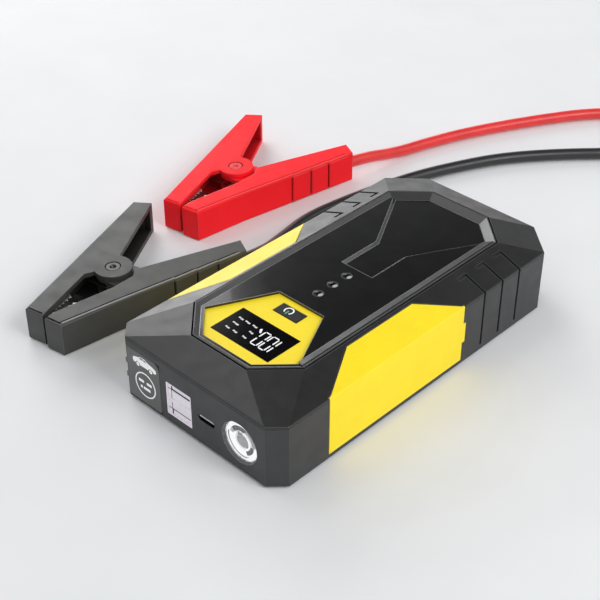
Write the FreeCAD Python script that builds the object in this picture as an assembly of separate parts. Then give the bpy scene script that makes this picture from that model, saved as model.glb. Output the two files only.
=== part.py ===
import FreeCAD, Part
import math
import os

# A car jump starter pack with its two battery clamps and their leads. Millimetres, +Z up.
# The origin is under the middle of the pack, on the surface that it rests on.
# The pack's length runs along Y and its sockets face -Y.

Vec = FreeCAD.Vector

# Pack case
PACK_WIDTH = 84.0
PACK_LENGTH = 164.0
FOOT_HEIGHT = 0.6
SHOULDER_Z = 28.0
CREST_Z = 32.9
FACET_FOOT_Z = 25.2
EDGE_SOFTENING = 0.5
WALL = 2.4
SEAM_Z = 26.7
SEAM_GAP = 0.3
FRONT_CORNER = 6.0
REAR_CUT_X = 14.0
REAR_CUT_Y = 12.5

# Raised eight-sided top
CREST_HALF_X = 28.6
CREST_FRONT_Y = 69.0
CREST_REAR_Y = 68.5
CREST_FRONT_CUT = 14.4
RIM_GAP = 0.6
RIM_FLAT = 0.5
RIM_TOP_Z = 33.1
RIM_FOOT_INSET = 4.2
LEDGE_Z = 29.2
LEDGE_THICKNESS = 1.6
PLATE_Z = 30.8
PANEL_Z = 31.9

# Display plate, window, button and indicator lights
PLATE_REAR_Y = -26.6
PLATE_REAR_HALF_X = 11.4
WINDOW_SIZE = (29.6, 16.8)
WINDOW_CENTRE_Y = -50.7
BUTTON_SIZE = (12.0, 5.9)
BUTTON_CENTRE_Y = -32.7
BUTTON_TRAVEL = 0.5
BUTTON_FLANGE = 1.1
MODULE_SIZE = (28.0, 15.4)
INDICATOR_Y = (-17.5, -9.5, -1.5)
INDICATOR_RADIUS = 1.55

# Side panels and grip grooves
SIDE_PANEL_THICKNESS = 1.2
SIDE_PANEL_GAP = 0.3
GROOVE_Y = (30.9, 42.0, 52.9)
GROOVE_WIDTH = 1.3
GROOVE_DEPTH = 0.9

# Sockets and torch in the front face
FLAP_X = (-35.9, -17.9)
FLAP_Z = (1.4, 24.1)
FLAP_THICKNESS = 1.5
FLAP_HINGE = (-36.3, -81.6)
KNUCKLE_Z = (10.5, 17.0)
KNUCKLE_RADIUS = 0.6
SOCKET_CENTRE = (-26.9, 12.9)
SOCKET_SIZE = (10.4, 19.2)
SOCKET_MOUTH = (7.4, 16.4)
CONTACT_PITCH = 8.2
USB_A_CENTRE = (-7.7, 12.0)
USB_A_SIZE = (13.2, 14.6)
USB_C_CENTRE = (6.9, 13.2)
USB_C_SIZE = (8.9, 3.2)
TORCH_CENTRE = (23.5, 13.2)
TORCH_RADIUS = 8.7
PORT_BOARD_Y = -64.6

# Inside the case
CELL_SIZE = (54.0, 110.0, 5.2)
CELL_COUNT = 3
CELL_CENTRE_Y = 10.0
PAD_THICKNESS = 1.0
BOARD_THICKNESS = 1.6
MAIN_BOARD_Z = 20.8
SCREW_PLACES = ((-34.5, -56.0), (34.5, -56.0), (-33.5, 62.0), (33.5, 62.0))
BASE_PAD = (50.0, 84.0)
FOOT_PLACES = ((-32.0, -70.0), (32.0, -70.0), (-27.0, 70.0), (27.0, 70.0))

# Clamps: u runs from the pivot towards the nose, v towards the fixed half
CLAMP_HEIGHT = 14.5
CLAMP_WALL = 2.0
NOSE_U = 42.6
EAR_RADIUS = 8.0
INNER_EAR_RADIUS = 7.2
EAR_GAP = 0.3
PIVOT_RADIUS = 1.9
PIVOT_CLEARANCE = 0.06
LUG_RADIUS = 3.2
RIM_WIDTH = 1.3
SPRING_RADIUS = 3.3
SPRING_WIRE = 0.9
SPRING_PITCH = 1.15
SPRING_TURNS = 4
TOOTH_PITCH = 2.3
TOOTH_DEPTH = 1.1
JAW_SHEET = 0.8
GRIP_STEPS_U = (-6.8, -16.9, -26.4)
BLACK_CLAMP = (-90.4, -44.2, -79.4)
RED_CLAMP = (-113.4, 47.6, -79.0)

# Leads: routes are lists of points, from inside the fixed half to the jump plug
LEAD_DIAMETER = 5.5
LEAD_Z = 2.8
LEAD_EXIT_Z = 7.25
PLUG_CENTRE = (68.0, 284.0)
PLUG_HEADING = 28.0
PLUG_SIZE = (26.0, 21.0, 10.6)
PLUG_Z = 5.3
RELIEF_LENGTH = 14.0


# ---------------------------------------------------------------- general shapes

def box(x_range, y_range, z_range):
    """Box between the two ends of each range."""
    size = Vec(x_range[1] - x_range[0], y_range[1] - y_range[0], z_range[1] - z_range[0])
    return Part.makeBox(size.x, size.y, size.z, Vec(x_range[0], y_range[0], z_range[0]))


def rod(radius, start, end):
    """Solid cylinder from start to end."""
    axis = end - start
    return Part.makeCylinder(radius, axis.Length, start, axis)


def tube(outer, inner, start, end):
    """Hollow cylinder from start to end."""
    return rod(outer, start, end).cut(rod(inner, start, end))


def prism(points, z_low, z_high):
    """Upright prism over a plan outline."""
    corners = [Vec(x, y, z_low) for x, y in points]
    face = Part.Face(Part.makePolygon(corners + corners[:1]))
    return face.extrude(Vec(0, 0, z_high - z_low))


def front_slab(centre, size, y_range, corner):
    """Rounded rectangle in the front face's plane, given depth along Y."""
    x, z = centre
    half_x, half_z = size[0] / 2, size[1] / 2
    block = box((x - half_x, x + half_x), y_range, (z - half_z, z + half_z))
    edges = [e for e in block.Edges if abs(e.tangentAt(e.FirstParameter).y) > 0.9]
    return block.makeFillet(corner, edges)


def inset(points, distance):
    """Outline drawn in by a distance; the points run counter-clockwise."""
    result = []
    count = len(points)
    for i in range(count):
        before, here, after = points[i - 1], points[i], points[(i + 1) % count]
        d1 = Vec(here[0] - before[0], here[1] - before[1], 0).normalize()
        d2 = Vec(after[0] - here[0], after[1] - here[1], 0).normalize()
        turn = d1.x * d2.y - d1.y * d2.x
        shift = (1 - d1.dot(d2)) / turn
        inward = Vec(-d1.y, d1.x, 0)
        moved = Vec(here[0], here[1], 0) + (inward - d1 * shift) * distance
        result.append((moved.x, moved.y))
    return result


def frustum(low_points, z_low, high_points, z_high):
    """Solid with flat faces between two outlines with matching corners."""
    low = [Vec(x, y, z_low) for x, y in low_points]
    high = [Vec(x, y, z_high) for x, y in high_points]
    faces = [Part.Face(Part.makePolygon(low[::-1] + low[-1:]))]
    faces.append(Part.Face(Part.makePolygon(high + high[:1])))
    for i in range(len(low)):
        j = (i + 1) % len(low)
        faces.append(Part.Face(Part.makePolygon([low[i], low[j], high[j], high[i], low[i]])))
    return Part.makeSolid(Part.makeShell(faces))


def fuse_all(shapes):
    """One shape out of several that touch or overlap."""
    whole = shapes[0]
    for shape in shapes[1:]:
        whole = whole.fuse(shape)
    return whole.removeSplitter()


def both_sides(shape):
    """The shape and its mirror image across the YZ plane."""
    return [shape, shape.mirror(Vec(0, 0, 0), Vec(1, 0, 0))]


# ---------------------------------------------------------------- pack case

def octagon(half_x, front_y, rear_y, front_cut, rear_cut):
    """Eight-sided outline, counter-clockwise from the front edge's right end."""
    right = [(half_x - front_cut, -front_y), (half_x, -front_y + front_cut),
             (half_x, rear_y - rear_cut[1]), (half_x - rear_cut[0], rear_y)]
    left = [(-x, y) for x, y in reversed(right)]
    return right + left


def crest_outline(distance=0.0):
    """Edge of the raised top, or the same edge drawn in."""
    outline = octagon(CREST_HALF_X, CREST_FRONT_Y, CREST_REAR_Y, CREST_FRONT_CUT,
                      (REAR_CUT_X, REAR_CUT_Y))
    return inset(outline, distance) if distance else outline


def shoulder_outline():
    """Edge where the upright sides turn into the sloping facets."""
    return octagon(PACK_WIDTH / 2, PACK_LENGTH / 2, PACK_LENGTH / 2, FRONT_CORNER,
                   (REAR_CUT_X, REAR_CUT_Y))


def plan_block(depth, z_low, z_high):
    """Upright block with the case's plan, drawn in by a depth."""
    half_x = PACK_WIDTH / 2 - depth
    half_y = PACK_LENGTH / 2 - depth
    front_cut = FRONT_CORNER - (2 - math.sqrt(2)) * depth
    outline = octagon(half_x, half_y, half_y, front_cut,
                      (REAR_CUT_X - 0.5 * depth, REAR_CUT_Y - 0.5 * depth))
    return prism(outline, z_low, z_high)


def pack_body(depth=0.0):
    """Outer volume of the case, or the same volume a wall's depth further in."""
    base = plan_block(depth, FOOT_HEIGHT + depth, CREST_Z + 1)
    reach = (CREST_Z - FACET_FOOT_Z) / (CREST_Z - SHOULDER_Z)
    skirt = [(tx + (sx - tx) * reach, ty + (sy - ty) * reach)
             for (tx, ty), (sx, sy) in zip(crest_outline(), shoulder_outline())]
    lowering = Vec(0, 0, -1.06 * depth)
    facets = frustum(skirt, FACET_FOOT_Z, crest_outline(), CREST_Z).translated(lowering)
    lower = box((-50, 50), (-90, 90), (0, FACET_FOOT_Z)).translated(lowering)
    return base.common(lower).fuse(base.common(facets)).removeSplitter()


def is_softened(edge):
    """True for an edge of the case that is rounded: not the top opening or the upright front corners."""
    bounds = edge.BoundBox
    if bounds.ZMax < 1:
        return True
    if bounds.ZMin < SEAM_Z + SEAM_GAP + 0.05:
        return bounds.ZLength > 0.5 and edge.CenterOfMass.y > 0
    on_front_corner = edge.CenterOfMass.y < -75.9 and abs(edge.CenterOfMass.x) > 34
    return bounds.ZMin < CREST_Z - 0.01 and not (on_front_corner and bounds.ZMax < CREST_Z - 0.01)


def case_hull(low=0, high=40):
    """Outer volume of the case between two heights, with its edges softened."""
    body = pack_body().common(box((-50, 50), (-90, 90), (low, high)))
    return body.makeFillet(EDGE_SOFTENING, [e for e in body.Edges if is_softened(e)])


def skin(depth):
    """The outer layer of the case, of a given depth."""
    return case_hull().cut(pack_body(depth))


def side_panel_region(margin=0.0):
    """Space that the right side panel fills: wall, tab and the slope above them."""
    low_y, high_y = -56.0 - margin, 18.5 + margin
    outer_x = PACK_WIDTH / 2 + 1
    wall = box((36.0, outer_x), (low_y, high_y), (2.6 - margin, SHOULDER_Z + 0.2))
    tab = box((36.0, outer_x), (high_y - 1, high_y + 1.5), (10.9 - margin, 19.8 + margin))
    slope = prism([(outer_x, low_y), (outer_x, high_y), (41.9, high_y),
                   (30.1 - margin, 1.3 + margin), (30.1 - margin, -34.5 - margin),
                   (41.9, low_y)], SHOULDER_Z, CREST_Z + 1)
    return fuse_all([wall, tab, slope])


def make_side_panel():
    """Right side panel; the left one is its mirror image."""
    return skin(SIDE_PANEL_THICKNESS).common(side_panel_region())


def grip_grooves():
    """Three upright grooves on each side, turning forward at the top of the slope."""
    half = GROOVE_WIDTH / 2
    cuts = []
    for y in GROOVE_Y:
        upright = box((31.5, 43.0), (y - half, y + half), (3.2, CREST_Z + 1))
        turn = box((31.5, 31.5 + GROOVE_WIDTH), (y - 4.4, y), (SHOULDER_Z, CREST_Z + 1))
        cuts += [upright, turn]
    right = skin(GROOVE_DEPTH).common(fuse_all(cuts))
    return both_sides(right)


def flap_recess():
    """Shallow pocket in the front face under the socket cover."""
    floor_y = -PACK_LENGTH / 2 + FLAP_THICKNESS + 0.3
    pocket = box((FLAP_X[0] - 0.3, FLAP_X[1] + 0.4), (-83, floor_y), (FLAP_Z[0] - 0.3, FLAP_Z[1] + 0.3))
    return pocket.fuse(flap_knuckles(0.3))


def flap_knuckles(margin=0.0):
    """Two short round knuckles on the cover's hinge line, or the space round them."""
    x, y = FLAP_HINGE
    knuckles = []
    for z in KNUCKLE_Z:
        low, high = Vec(x, y, z - 0.9 - margin), Vec(x, y, z + 0.9 + margin)
        knuckles.append(rod(KNUCKLE_RADIUS + margin, low, high))
    return knuckles


def front_openings():
    """Holes through the front wall for the sockets and the torch."""
    through = (-83, -78)
    return [flap_recess(),
            front_slab(SOCKET_CENTRE, SOCKET_SIZE, through, 1.5),
            front_slab(USB_A_CENTRE, USB_A_SIZE, through, 0.5),
            front_slab(USB_C_CENTRE, USB_C_SIZE, through, 1.55),
            rod(TORCH_RADIUS, Vec(TORCH_CENTRE[0], -83, TORCH_CENTRE[1]),
                Vec(TORCH_CENTRE[0], -78, TORCH_CENTRE[1]))]


def make_lower_shell():
    """Tray with the front openings, screw bosses and foot pockets."""
    floor_z = FOOT_HEIGHT + WALL
    shell = case_hull(high=SEAM_Z)
    shell = shell.cut(plan_block(WALL, floor_z, 40))
    for x, y in SCREW_PLACES:
        boss = rod(3.8, Vec(x, y, floor_z - 0.5), Vec(x, y, 9.0)).common(pack_body(1.0))
        shell = shell.fuse(boss)
    cuts = front_openings() + grip_grooves()
    recess = skin(SIDE_PANEL_THICKNESS + 0.1).common(side_panel_region(SIDE_PANEL_GAP))
    cuts += both_sides(recess)
    for x, y in SCREW_PLACES:
        cuts.append(rod(1.45, Vec(x, y, 0), Vec(x, y, 10)))
        cuts.append(rod(2.7, Vec(x, y, 0), Vec(x, y, 3.6)))
    for x, y in FOOT_PLACES:
        cuts.append(rod(5.1, Vec(x, y, 0), Vec(x, y, 1.6)))
    cuts.append(plan_box(0, BASE_PAD, (0, 1.1), 0.1))
    return shell.cut(cuts).removeSplitter()


def deck_openings():
    """Holes in the deck for the display module, the button and the light pipes."""
    holes = [plan_box(WINDOW_CENTRE_Y, MODULE_SIZE, (20, 40), 0.3),
             plan_box(BUTTON_CENTRE_Y, BUTTON_SIZE, (20, 40), BUTTON_FLANGE + 0.4)]
    for y in INDICATOR_Y:
        holes.append(rod(INDICATOR_RADIUS + 0.1, Vec(0, y, 20), Vec(0, y, 40)))
    return holes


def make_upper_shell():
    """Cover with the sloping facets, the deck under the top and the screw posts."""
    floor_z = SEAM_Z + SEAM_GAP
    shell = case_hull(low=floor_z).cut(pack_body(WALL))
    lip = plan_block(WALL + 0.1, SEAM_Z - 1.5, floor_z + 0.2)
    lip = lip.cut(plan_block(WALL + 1.3, SEAM_Z - 2, floor_z + 1))
    deck = prism(crest_outline(-1.6), LEDGE_Z - LEDGE_THICKNESS, CREST_Z).common(pack_body(0.4))
    posts = []
    for x, y in SCREW_PLACES:
        posts.append(rod(3.2, Vec(x, y, 9.2), Vec(x, y, 32)).common(pack_body(1.0)))
    shell = fuse_all([shell, lip, deck, *posts])
    cuts = [prism(crest_outline(), LEDGE_Z, 40)] + grip_grooves() + deck_openings()
    recess = skin(SIDE_PANEL_THICKNESS + 0.1).common(side_panel_region(SIDE_PANEL_GAP))
    cuts += both_sides(recess)
    for x, y in SCREW_PLACES:
        cuts.append(rod(1.3, Vec(x, y, 9), Vec(x, y, 18)))
    return shell.cut(cuts).removeSplitter()


# ---------------------------------------------------------------- top of the pack

def rim_hollow():
    """Space inside the rim: its inner bevel, with the straight opening under it."""
    foot = crest_outline(RIM_FOOT_INSET)
    bevel = frustum(foot, PLATE_Z, crest_outline(RIM_GAP + RIM_FLAT), RIM_TOP_Z)
    return bevel.fuse(prism(foot, LEDGE_Z - 1, PLATE_Z)).removeSplitter()


def plate_outline():
    """Six-sided display plate: the rim's front edges and two edges drawn in to the rear."""
    foot = crest_outline(RIM_FOOT_INSET)
    front = [foot[7], foot[0], foot[1]]
    rear = [(PLATE_REAR_HALF_X, PLATE_REAR_Y), (-PLATE_REAR_HALF_X, PLATE_REAR_Y)]
    return front + rear + [foot[6]]


def make_top_rim():
    """Frame round the top panel."""
    ring = prism(crest_outline(RIM_GAP), LEDGE_Z, RIM_TOP_Z)
    return ring.cut(rim_hollow())


def lowered_area():
    """Y-shaped area of the top panel, with sloping edges, open to the rear rim."""
    corner_x, corner_y = crest_outline(RIM_FOOT_INSET)[2]
    neck = 7.9
    outline = [(-neck, 4.2), (neck, 4.2), (neck, 24.6), (corner_x, corner_y), (corner_x + 9, corner_y),
               (corner_x + 9, 80), (-corner_x - 9, 80), (-corner_x - 9, corner_y),
               (-corner_x, corner_y), (-neck, 24.6)]
    return frustum(inset(outline, 1.1), PANEL_Z - 1.0, outline, PANEL_Z + 0.01)


def make_top_panel():
    """Gloss panel inside the rim, behind the display plate."""
    slab = prism(crest_outline(RIM_GAP + RIM_FLAT), LEDGE_Z, PANEL_Z).common(rim_hollow())
    cuts = [prism(plate_outline(), 20, 40), lowered_area()]
    for y in INDICATOR_Y:
        cuts.append(rod(INDICATOR_RADIUS, Vec(0, y, 20), Vec(0, y, 40)))
        cuts.append(Part.makeCone(INDICATOR_RADIUS, INDICATOR_RADIUS + 0.5, 0.5, Vec(0, y, PANEL_Z - 0.5)))
    return slab.cut(cuts).removeSplitter()


def plan_box(centre_y, size, z_range, margin=0.0):
    """Upright box centred on the pack's middle plane."""
    half_x, half_y = size[0] / 2 + margin, size[1] / 2 + margin
    return box((-half_x, half_x), (centre_y - half_y, centre_y + half_y), z_range)


def make_display_plate():
    """Yellow plate with the window and the button hole."""
    plate = prism(plate_outline(), LEDGE_Z, PLATE_Z)
    window = plan_box(WINDOW_CENTRE_Y, WINDOW_SIZE, (20, 40))
    button = plan_box(BUTTON_CENTRE_Y, BUTTON_SIZE, (20, 40), 0.2)
    return plate.cut([window, button])


def make_display_window():
    """Dark window, flush with the plate."""
    return plan_box(WINDOW_CENTRE_Y, WINDOW_SIZE, (LEDGE_Z, PLATE_Z + 0.05))


def make_display_module():
    """Digit display under the window, standing on the main board."""
    return plan_box(WINDOW_CENTRE_Y, MODULE_SIZE, (MAIN_BOARD_Z + BOARD_THICKNESS, LEDGE_Z))


def make_power_button():
    """Key cap with a flange that stays under the plate, and a stem to the switch."""
    cap = plan_box(BUTTON_CENTRE_Y, BUTTON_SIZE, (28.4, PLATE_Z + 0.25))
    top_edges = [e for e in cap.Edges if e.CenterOfMass.z > PLATE_Z]
    cap = cap.makeFillet(0.3, top_edges)
    flange = plan_box(BUTTON_CENTRE_Y, BUTTON_SIZE, (28.1, LEDGE_Z - 0.1), BUTTON_FLANGE)
    stem = rod(1.6, Vec(0, BUTTON_CENTRE_Y, 26.6), Vec(0, BUTTON_CENTRE_Y, 28.3))
    return fuse_all([cap, flange, stem])


def make_button_switch():
    """Tactile switch on the main board."""
    low = MAIN_BOARD_Z + BOARD_THICKNESS
    body = plan_box(BUTTON_CENTRE_Y, (6.0, 6.0), (low, low + 2.8))
    plunger = rod(1.4, Vec(0, BUTTON_CENTRE_Y, low + 2.8), Vec(0, BUTTON_CENTRE_Y, 26.6 - BUTTON_TRAVEL - 0.1))
    return fuse_all([body, plunger])


def make_indicator_lights():
    """Three light pipes with dished tops."""
    lights = []
    for y in INDICATOR_Y:
        pipe = rod(INDICATOR_RADIUS, Vec(0, y, LEDGE_Z - 2), Vec(0, y, PANEL_Z - 0.3))
        dish = Part.makeSphere(2.2, Vec(0, y, PANEL_Z - 0.3 + 1.7))
        lights.append(pipe.cut(dish))
    return Part.makeCompound(lights)


# ---------------------------------------------------------------- front face

def make_socket_cover():
    """Rubber flap over the jump socket, with a low plug that fills the socket's mouth."""
    front = -PACK_LENGTH / 2
    centre = (sum(FLAP_X) / 2, sum(FLAP_Z) / 2)
    size = (FLAP_X[1] - FLAP_X[0], FLAP_Z[1] - FLAP_Z[0])
    flap = box(FLAP_X, (front, front + FLAP_THICKNESS), FLAP_Z)
    along_y = [e for e in flap.Edges if abs(e.tangentAt(e.FirstParameter).y) > 0.9]
    top_right = [e for e in along_y if e.CenterOfMass.x > centre[0] and e.CenterOfMass.z > centre[1]]
    others = [e for e in along_y if e.CenterOfMass.x > centre[0] and e.CenterOfMass.z < centre[1]]
    flap = flap.makeFillet(3.6, top_right)
    low_right = [e for e in flap.Edges if any(e.CenterOfMass.isEqual(o.CenterOfMass, 0.01) for o in others)]
    flap = flap.makeFillet(1.0, low_right)
    boss_size = (SOCKET_MOUTH[0] - 1.2, SOCKET_MOUTH[1] - 1.2)
    boss = front_slab(SOCKET_CENTRE, boss_size, (front + FLAP_THICKNESS, front + FLAP_THICKNESS + 1.2), 1.2)
    front_edges = [e for e in flap.Edges if e.BoundBox.YMax < front + 0.01]
    flap = flap.makeFillet(0.3, front_edges)
    return fuse_all([flap, boss, *flap_knuckles()])


def make_jump_socket():
    """Socket body for the jump plug, with one keyed mouth round both contacts."""
    front = -PACK_LENGTH / 2 + FLAP_THICKNESS + 0.3
    body = front_slab(SOCKET_CENTRE, SOCKET_SIZE, (front, -62.4), 1.5)
    mouth = front_slab(SOCKET_CENTRE, SOCKET_MOUTH, (front - 1, -66.0), 2.4)
    body = body.cut(mouth)
    for sign in (-1, 1):
        z = SOCKET_CENTRE[1] + sign * CONTACT_PITCH / 2
        body = body.cut(rod(2.4, Vec(SOCKET_CENTRE[0], -67, z), Vec(SOCKET_CENTRE[0], -62, z)))
    return body


def make_socket_contacts():
    """Two round contacts, tubes at the mouth and solid at the tail."""
    contacts = []
    for sign in (-1, 1):
        x, z = SOCKET_CENTRE[0], SOCKET_CENTRE[1] + sign * CONTACT_PITCH / 2
        body = rod(2.4, Vec(x, -74.8, z), Vec(x, -60.6, z))
        contacts.append(body.cut(rod(1.75, Vec(x, -75, z), Vec(x, -67, z))))
    return Part.makeCompound(contacts)


def make_usb_a_shell():
    """Bright frame of the stacked pair, with the wall between the two mouths."""
    outer = front_slab(USB_A_CENTRE, USB_A_SIZE, (-82.05, PORT_BOARD_Y), 0.5)
    x, z = USB_A_CENTRE
    mouth_size = (USB_A_SIZE[0] - 0.9, 6.2)
    mouths = [front_slab((x, z + sign * 3.75), mouth_size, (-83, PORT_BOARD_Y - 0.6), 0.3)
              for sign in (-1, 1)]
    return outer.cut(mouths)


def make_usb_a_inserts():
    """White tongues and the blocks that carry them, one in each mouth."""
    x, z = USB_A_CENTRE
    inserts = []
    for sign in (-1, 1):
        mid = z + sign * 3.75
        block = box((x - 6.05, x + 6.05), (-73.5, PORT_BOARD_Y - 0.6), (mid - 3.0, mid + 3.0))
        tongue = box((x - 5.6, x + 5.6), (-80.9, -73.0), (mid - 0.2, mid + 2.0))
        inserts.append(fuse_all([block, tongue]))
    return Part.makeCompound(inserts)


def make_usb_c_socket():
    """USB-C shell."""
    x, z = USB_C_CENTRE
    outer = front_slab(USB_C_CENTRE, USB_C_SIZE, (-82.0, PORT_BOARD_Y), 1.55)
    mouth = front_slab(USB_C_CENTRE, (USB_C_SIZE[0] - 0.6, USB_C_SIZE[1] - 0.6), (-83, -74.0), 1.25)
    return outer.cut(mouth)


def make_usb_c_tongue():
    """Tongue in the middle of the USB-C mouth."""
    x, z = USB_C_CENTRE
    return box((x - 3.3, x + 3.3), (-81.3, -74.0), (z - 0.35, z + 0.35))


def torch_point(y, radius=0.0):
    """Point at the torch's height, a radius away from its axis."""
    return Vec(TORCH_CENTRE[0] + radius, y, TORCH_CENTRE[1])


def make_torch_lens():
    """Clear disc, slightly crowned."""
    disc = rod(TORCH_RADIUS, torch_point(-82.2), torch_point(-80.9))
    crown = Part.makeSphere(60.0, torch_point(-82.7 + 60.0))
    return disc.common(crown)


def make_torch_reflector():
    """Bright cup behind the lens, with a hole for the LED at its bottom."""
    mouth_y, depth, hole = -80.9, 8.2, 2.6
    steps = 10
    inside = []
    for i in range(steps + 1):
        share = 1 - i / steps
        radius = hole + (TORCH_RADIUS - 0.5 - hole) * share
        inside.append(torch_point(mouth_y + depth * (1 - share ** 1.8), radius))
    bottom_y = mouth_y + depth
    outside = [torch_point(bottom_y + 1.0, hole), torch_point(bottom_y + 1.0, hole + 1.6),
               torch_point(mouth_y + 3.0, TORCH_RADIUS), torch_point(mouth_y, TORCH_RADIUS)]
    curve = Part.BSplineCurve()
    curve.interpolate(inside)
    straight = [inside[-1], *outside, inside[0]]
    wire = Part.Wire([curve.toShape(), *Part.makePolygon(straight).Edges])
    return Part.Face(wire).revolve(torch_point(0), Vec(0, 1, 0), 360)


def make_torch_led():
    """LED: square base on its board and a clear dome in the reflector's hole."""
    x, z = TORCH_CENTRE
    base = box((x - 1.7, x + 1.7), (-72.6, -71.7), (z - 1.7, z + 1.7))
    dome = Part.makeSphere(1.6, torch_point(-72.4)).common(box((x - 3, x + 3), (-76, -72.0), (z - 3, z + 3)))
    return fuse_all([base, dome])


def make_torch_board():
    """Round LED board behind the reflector."""
    return rod(6.5, torch_point(-71.7), torch_point(-70.1))


# ---------------------------------------------------------------- inside the pack

def make_port_board():
    """Upright board that carries the USB sockets."""
    return box((-16.0, 14.0), (PORT_BOARD_Y, PORT_BOARD_Y + BOARD_THICKNESS), (3.2, 20.6))


def make_main_board():
    """Board under the display, above the cells, with its larger components."""
    low, high = MAIN_BOARD_Z, MAIN_BOARD_Z + BOARD_THICKNESS
    board = box((-27.0, 27.0), (-61.5, -6.0), (low, high))
    relay = box((-24.0, -10.0), (-24.0, -10.0), (high, high + 5.0))
    coil = box((6.0, 16.0), (-22.0, -12.0), (high, high + 4.0))
    return fuse_all([board, relay, coil])


def make_battery_cells():
    """Stack of pouch cells, one solid each."""
    cells = []
    low = FOOT_HEIGHT + WALL + PAD_THICKNESS
    for i in range(CELL_COUNT):
        z = low + i * CELL_SIZE[2]
        cell = plan_box(CELL_CENTRE_Y, CELL_SIZE[:2], (z + 0.05, z + CELL_SIZE[2] - 0.05))
        upright = [e for e in cell.Edges if abs(e.tangentAt(e.FirstParameter).z) > 0.9]
        cells.append(cell.makeFillet(3.0, upright))
    return Part.makeCompound(cells)


def make_cell_pads():
    """Foam pads under and over the cells."""
    low = FOOT_HEIGHT + WALL
    high = low + PAD_THICKNESS + CELL_COUNT * CELL_SIZE[2]
    pads = [plan_box(CELL_CENTRE_Y, (48.0, 100.0), (z, z + PAD_THICKNESS)) for z in (low, high)]
    return Part.makeCompound(pads)


def make_cell_bars():
    """Nickel bars across the cells' front ends."""
    front_y = CELL_CENTRE_Y - CELL_SIZE[1] / 2
    low = FOOT_HEIGHT + WALL + PAD_THICKNESS
    bars = []
    for x in (-18.0, 18.0):
        bars.append(box((x - 4, x + 4), (front_y - 0.5, front_y), (low + 1, low + 14.0)))
    return Part.makeCompound(bars)


def make_case_screws():
    """Four screws, up through the lower bosses into the upper posts."""
    screws = []
    for x, y in SCREW_PLACES:
        head = rod(2.5, Vec(x, y, 1.8), Vec(x, y, 3.6))
        slot = box((x - 1.6, x + 1.6), (y - 0.3, y + 0.3), (1.8, 2.7))
        cross = box((x - 0.3, x + 0.3), (y - 1.6, y + 1.6), (1.8, 2.7))
        shank = rod(1.3, Vec(x, y, 3.6), Vec(x, y, 16.5))
        screws.append(fuse_all([head, shank]).cut([slot, cross]))
    return Part.makeCompound(screws)


def make_rubber_feet():
    """Four round feet in pockets under the tray."""
    feet = []
    for x, y in FOOT_PLACES:
        foot = rod(5.0, Vec(x, y, 0), Vec(x, y, 1.6))
        low_edges = [e for e in foot.Edges if e.CenterOfMass.z < 0.1 and len(e.Vertexes) == 1]
        feet.append(foot.makeChamfer(0.4, low_edges))
    return Part.makeCompound(feet)


def make_base_pad():
    """Wide rubber pad under the middle of the tray."""
    pad = plan_box(0, BASE_PAD, (0, 1.1))
    return pad.makeChamfer(0.3, [e for e in pad.Edges if e.CenterOfMass.z < 0.1])


def make_inner_leads():
    """Two straight leads from the cell bars to the jump socket's contacts."""
    bar_y = CELL_CENTRE_Y - CELL_SIZE[1] / 2 - 0.5
    contact_y = -60.6
    between = box((-50, 50), (contact_y, bar_y), (0, 30))
    leads = []
    for sign, bar_x in ((-1, -18.0), (1, 18.0)):
        z = SOCKET_CENTRE[1] + sign * CONTACT_PITCH / 2
        start, end = Vec(SOCKET_CENTRE[0], contact_y, z), Vec(bar_x, bar_y, z - 1.5)
        run = (end - start).normalize() * 3
        leads.append(rod(1.6, start - run, end + run).common(between))
    return Part.makeCompound(leads)


# ---------------------------------------------------------------- clamps, in their own u, v, z

def near_edge_v(u):
    """Distance of the fixed half's near edge from the pivot line, along the grip."""
    return 17.9 + (17.5 - u) * (39.3 - 17.9) / (17.5 + 39.4)


def fixed_half_outline():
    """Plan of the fixed half: nose, near edge, rear, and the far edge."""
    near = [(42.8, 9.9), (17.5, near_edge_v(17.5)), (-39.4, near_edge_v(-39.4))]
    far = [(-44.6, 32.4), (-3.6, 9.2), (1.0, 11.4), (12.1, 9.6), (37.4, 1.3), (NOSE_U, 1.1)]
    return near + far


def make_fixed_half():
    """Fixed half: closed grip, open channel at the jaw, inner ears for the pivot."""
    top = CLAMP_HEIGHT
    outline = fixed_half_outline()
    body = prism(outline, 0, top)
    near_edges = [e for e in body.Edges if is_near_rim(e)]
    body = body.makeFillet(0.7, near_edges)
    hollow_outline = [(NOSE_U - 2.4, 0.5), (NOSE_U - 2.4, 8.6), (17.2, 15.9), (-6.0, 24.3),
                      (-37.4, 36.2), (-41.0, 31.9), (-14.0, 17.0), (-12.0, 12.0), (0.0, 7.0), (20.0, 0.5)]
    body = body.cut(prism(hollow_outline, CLAMP_WALL, top - CLAMP_WALL))
    ears = []
    for low in (CLAMP_WALL + EAR_GAP, top - CLAMP_WALL - EAR_GAP - 2.0):
        plate = rod(INNER_EAR_RADIUS, Vec(0, 0, low), Vec(0, 0, low + 2.0))
        web = prism([(INNER_EAR_RADIUS, 0), (9.0, 20.0), (-9.0, 26.0), (-INNER_EAR_RADIUS, 0)], low, low + 2.0)
        ears += [plate, web]
    joints = prism([(9.5, 13.0), (9.0, 20.0), (-9.0, 26.0), (-9.5, 14.0)], CLAMP_WALL, CLAMP_WALL + EAR_GAP)
    ears += [joints, joints.translated(Vec(0, 0, top - 2 * CLAMP_WALL - EAR_GAP))]
    body = fuse_all([body, *ears, *grip_steps()])
    cuts = [rod(PIVOT_RADIUS, Vec(0, 0, -1), Vec(0, 0, top + 1))]
    start, heading = lead_exit()
    cuts.append(rod(LEAD_DIAMETER / 2 + 0.1, start - heading * 6, start + heading * 12))
    cuts.append(rod(LUG_RADIUS + 0.2, start - heading * 18, start - heading * 4))
    cuts += grip_lines() + rim_groove()
    return body.cut(cuts).removeSplitter()


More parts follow.
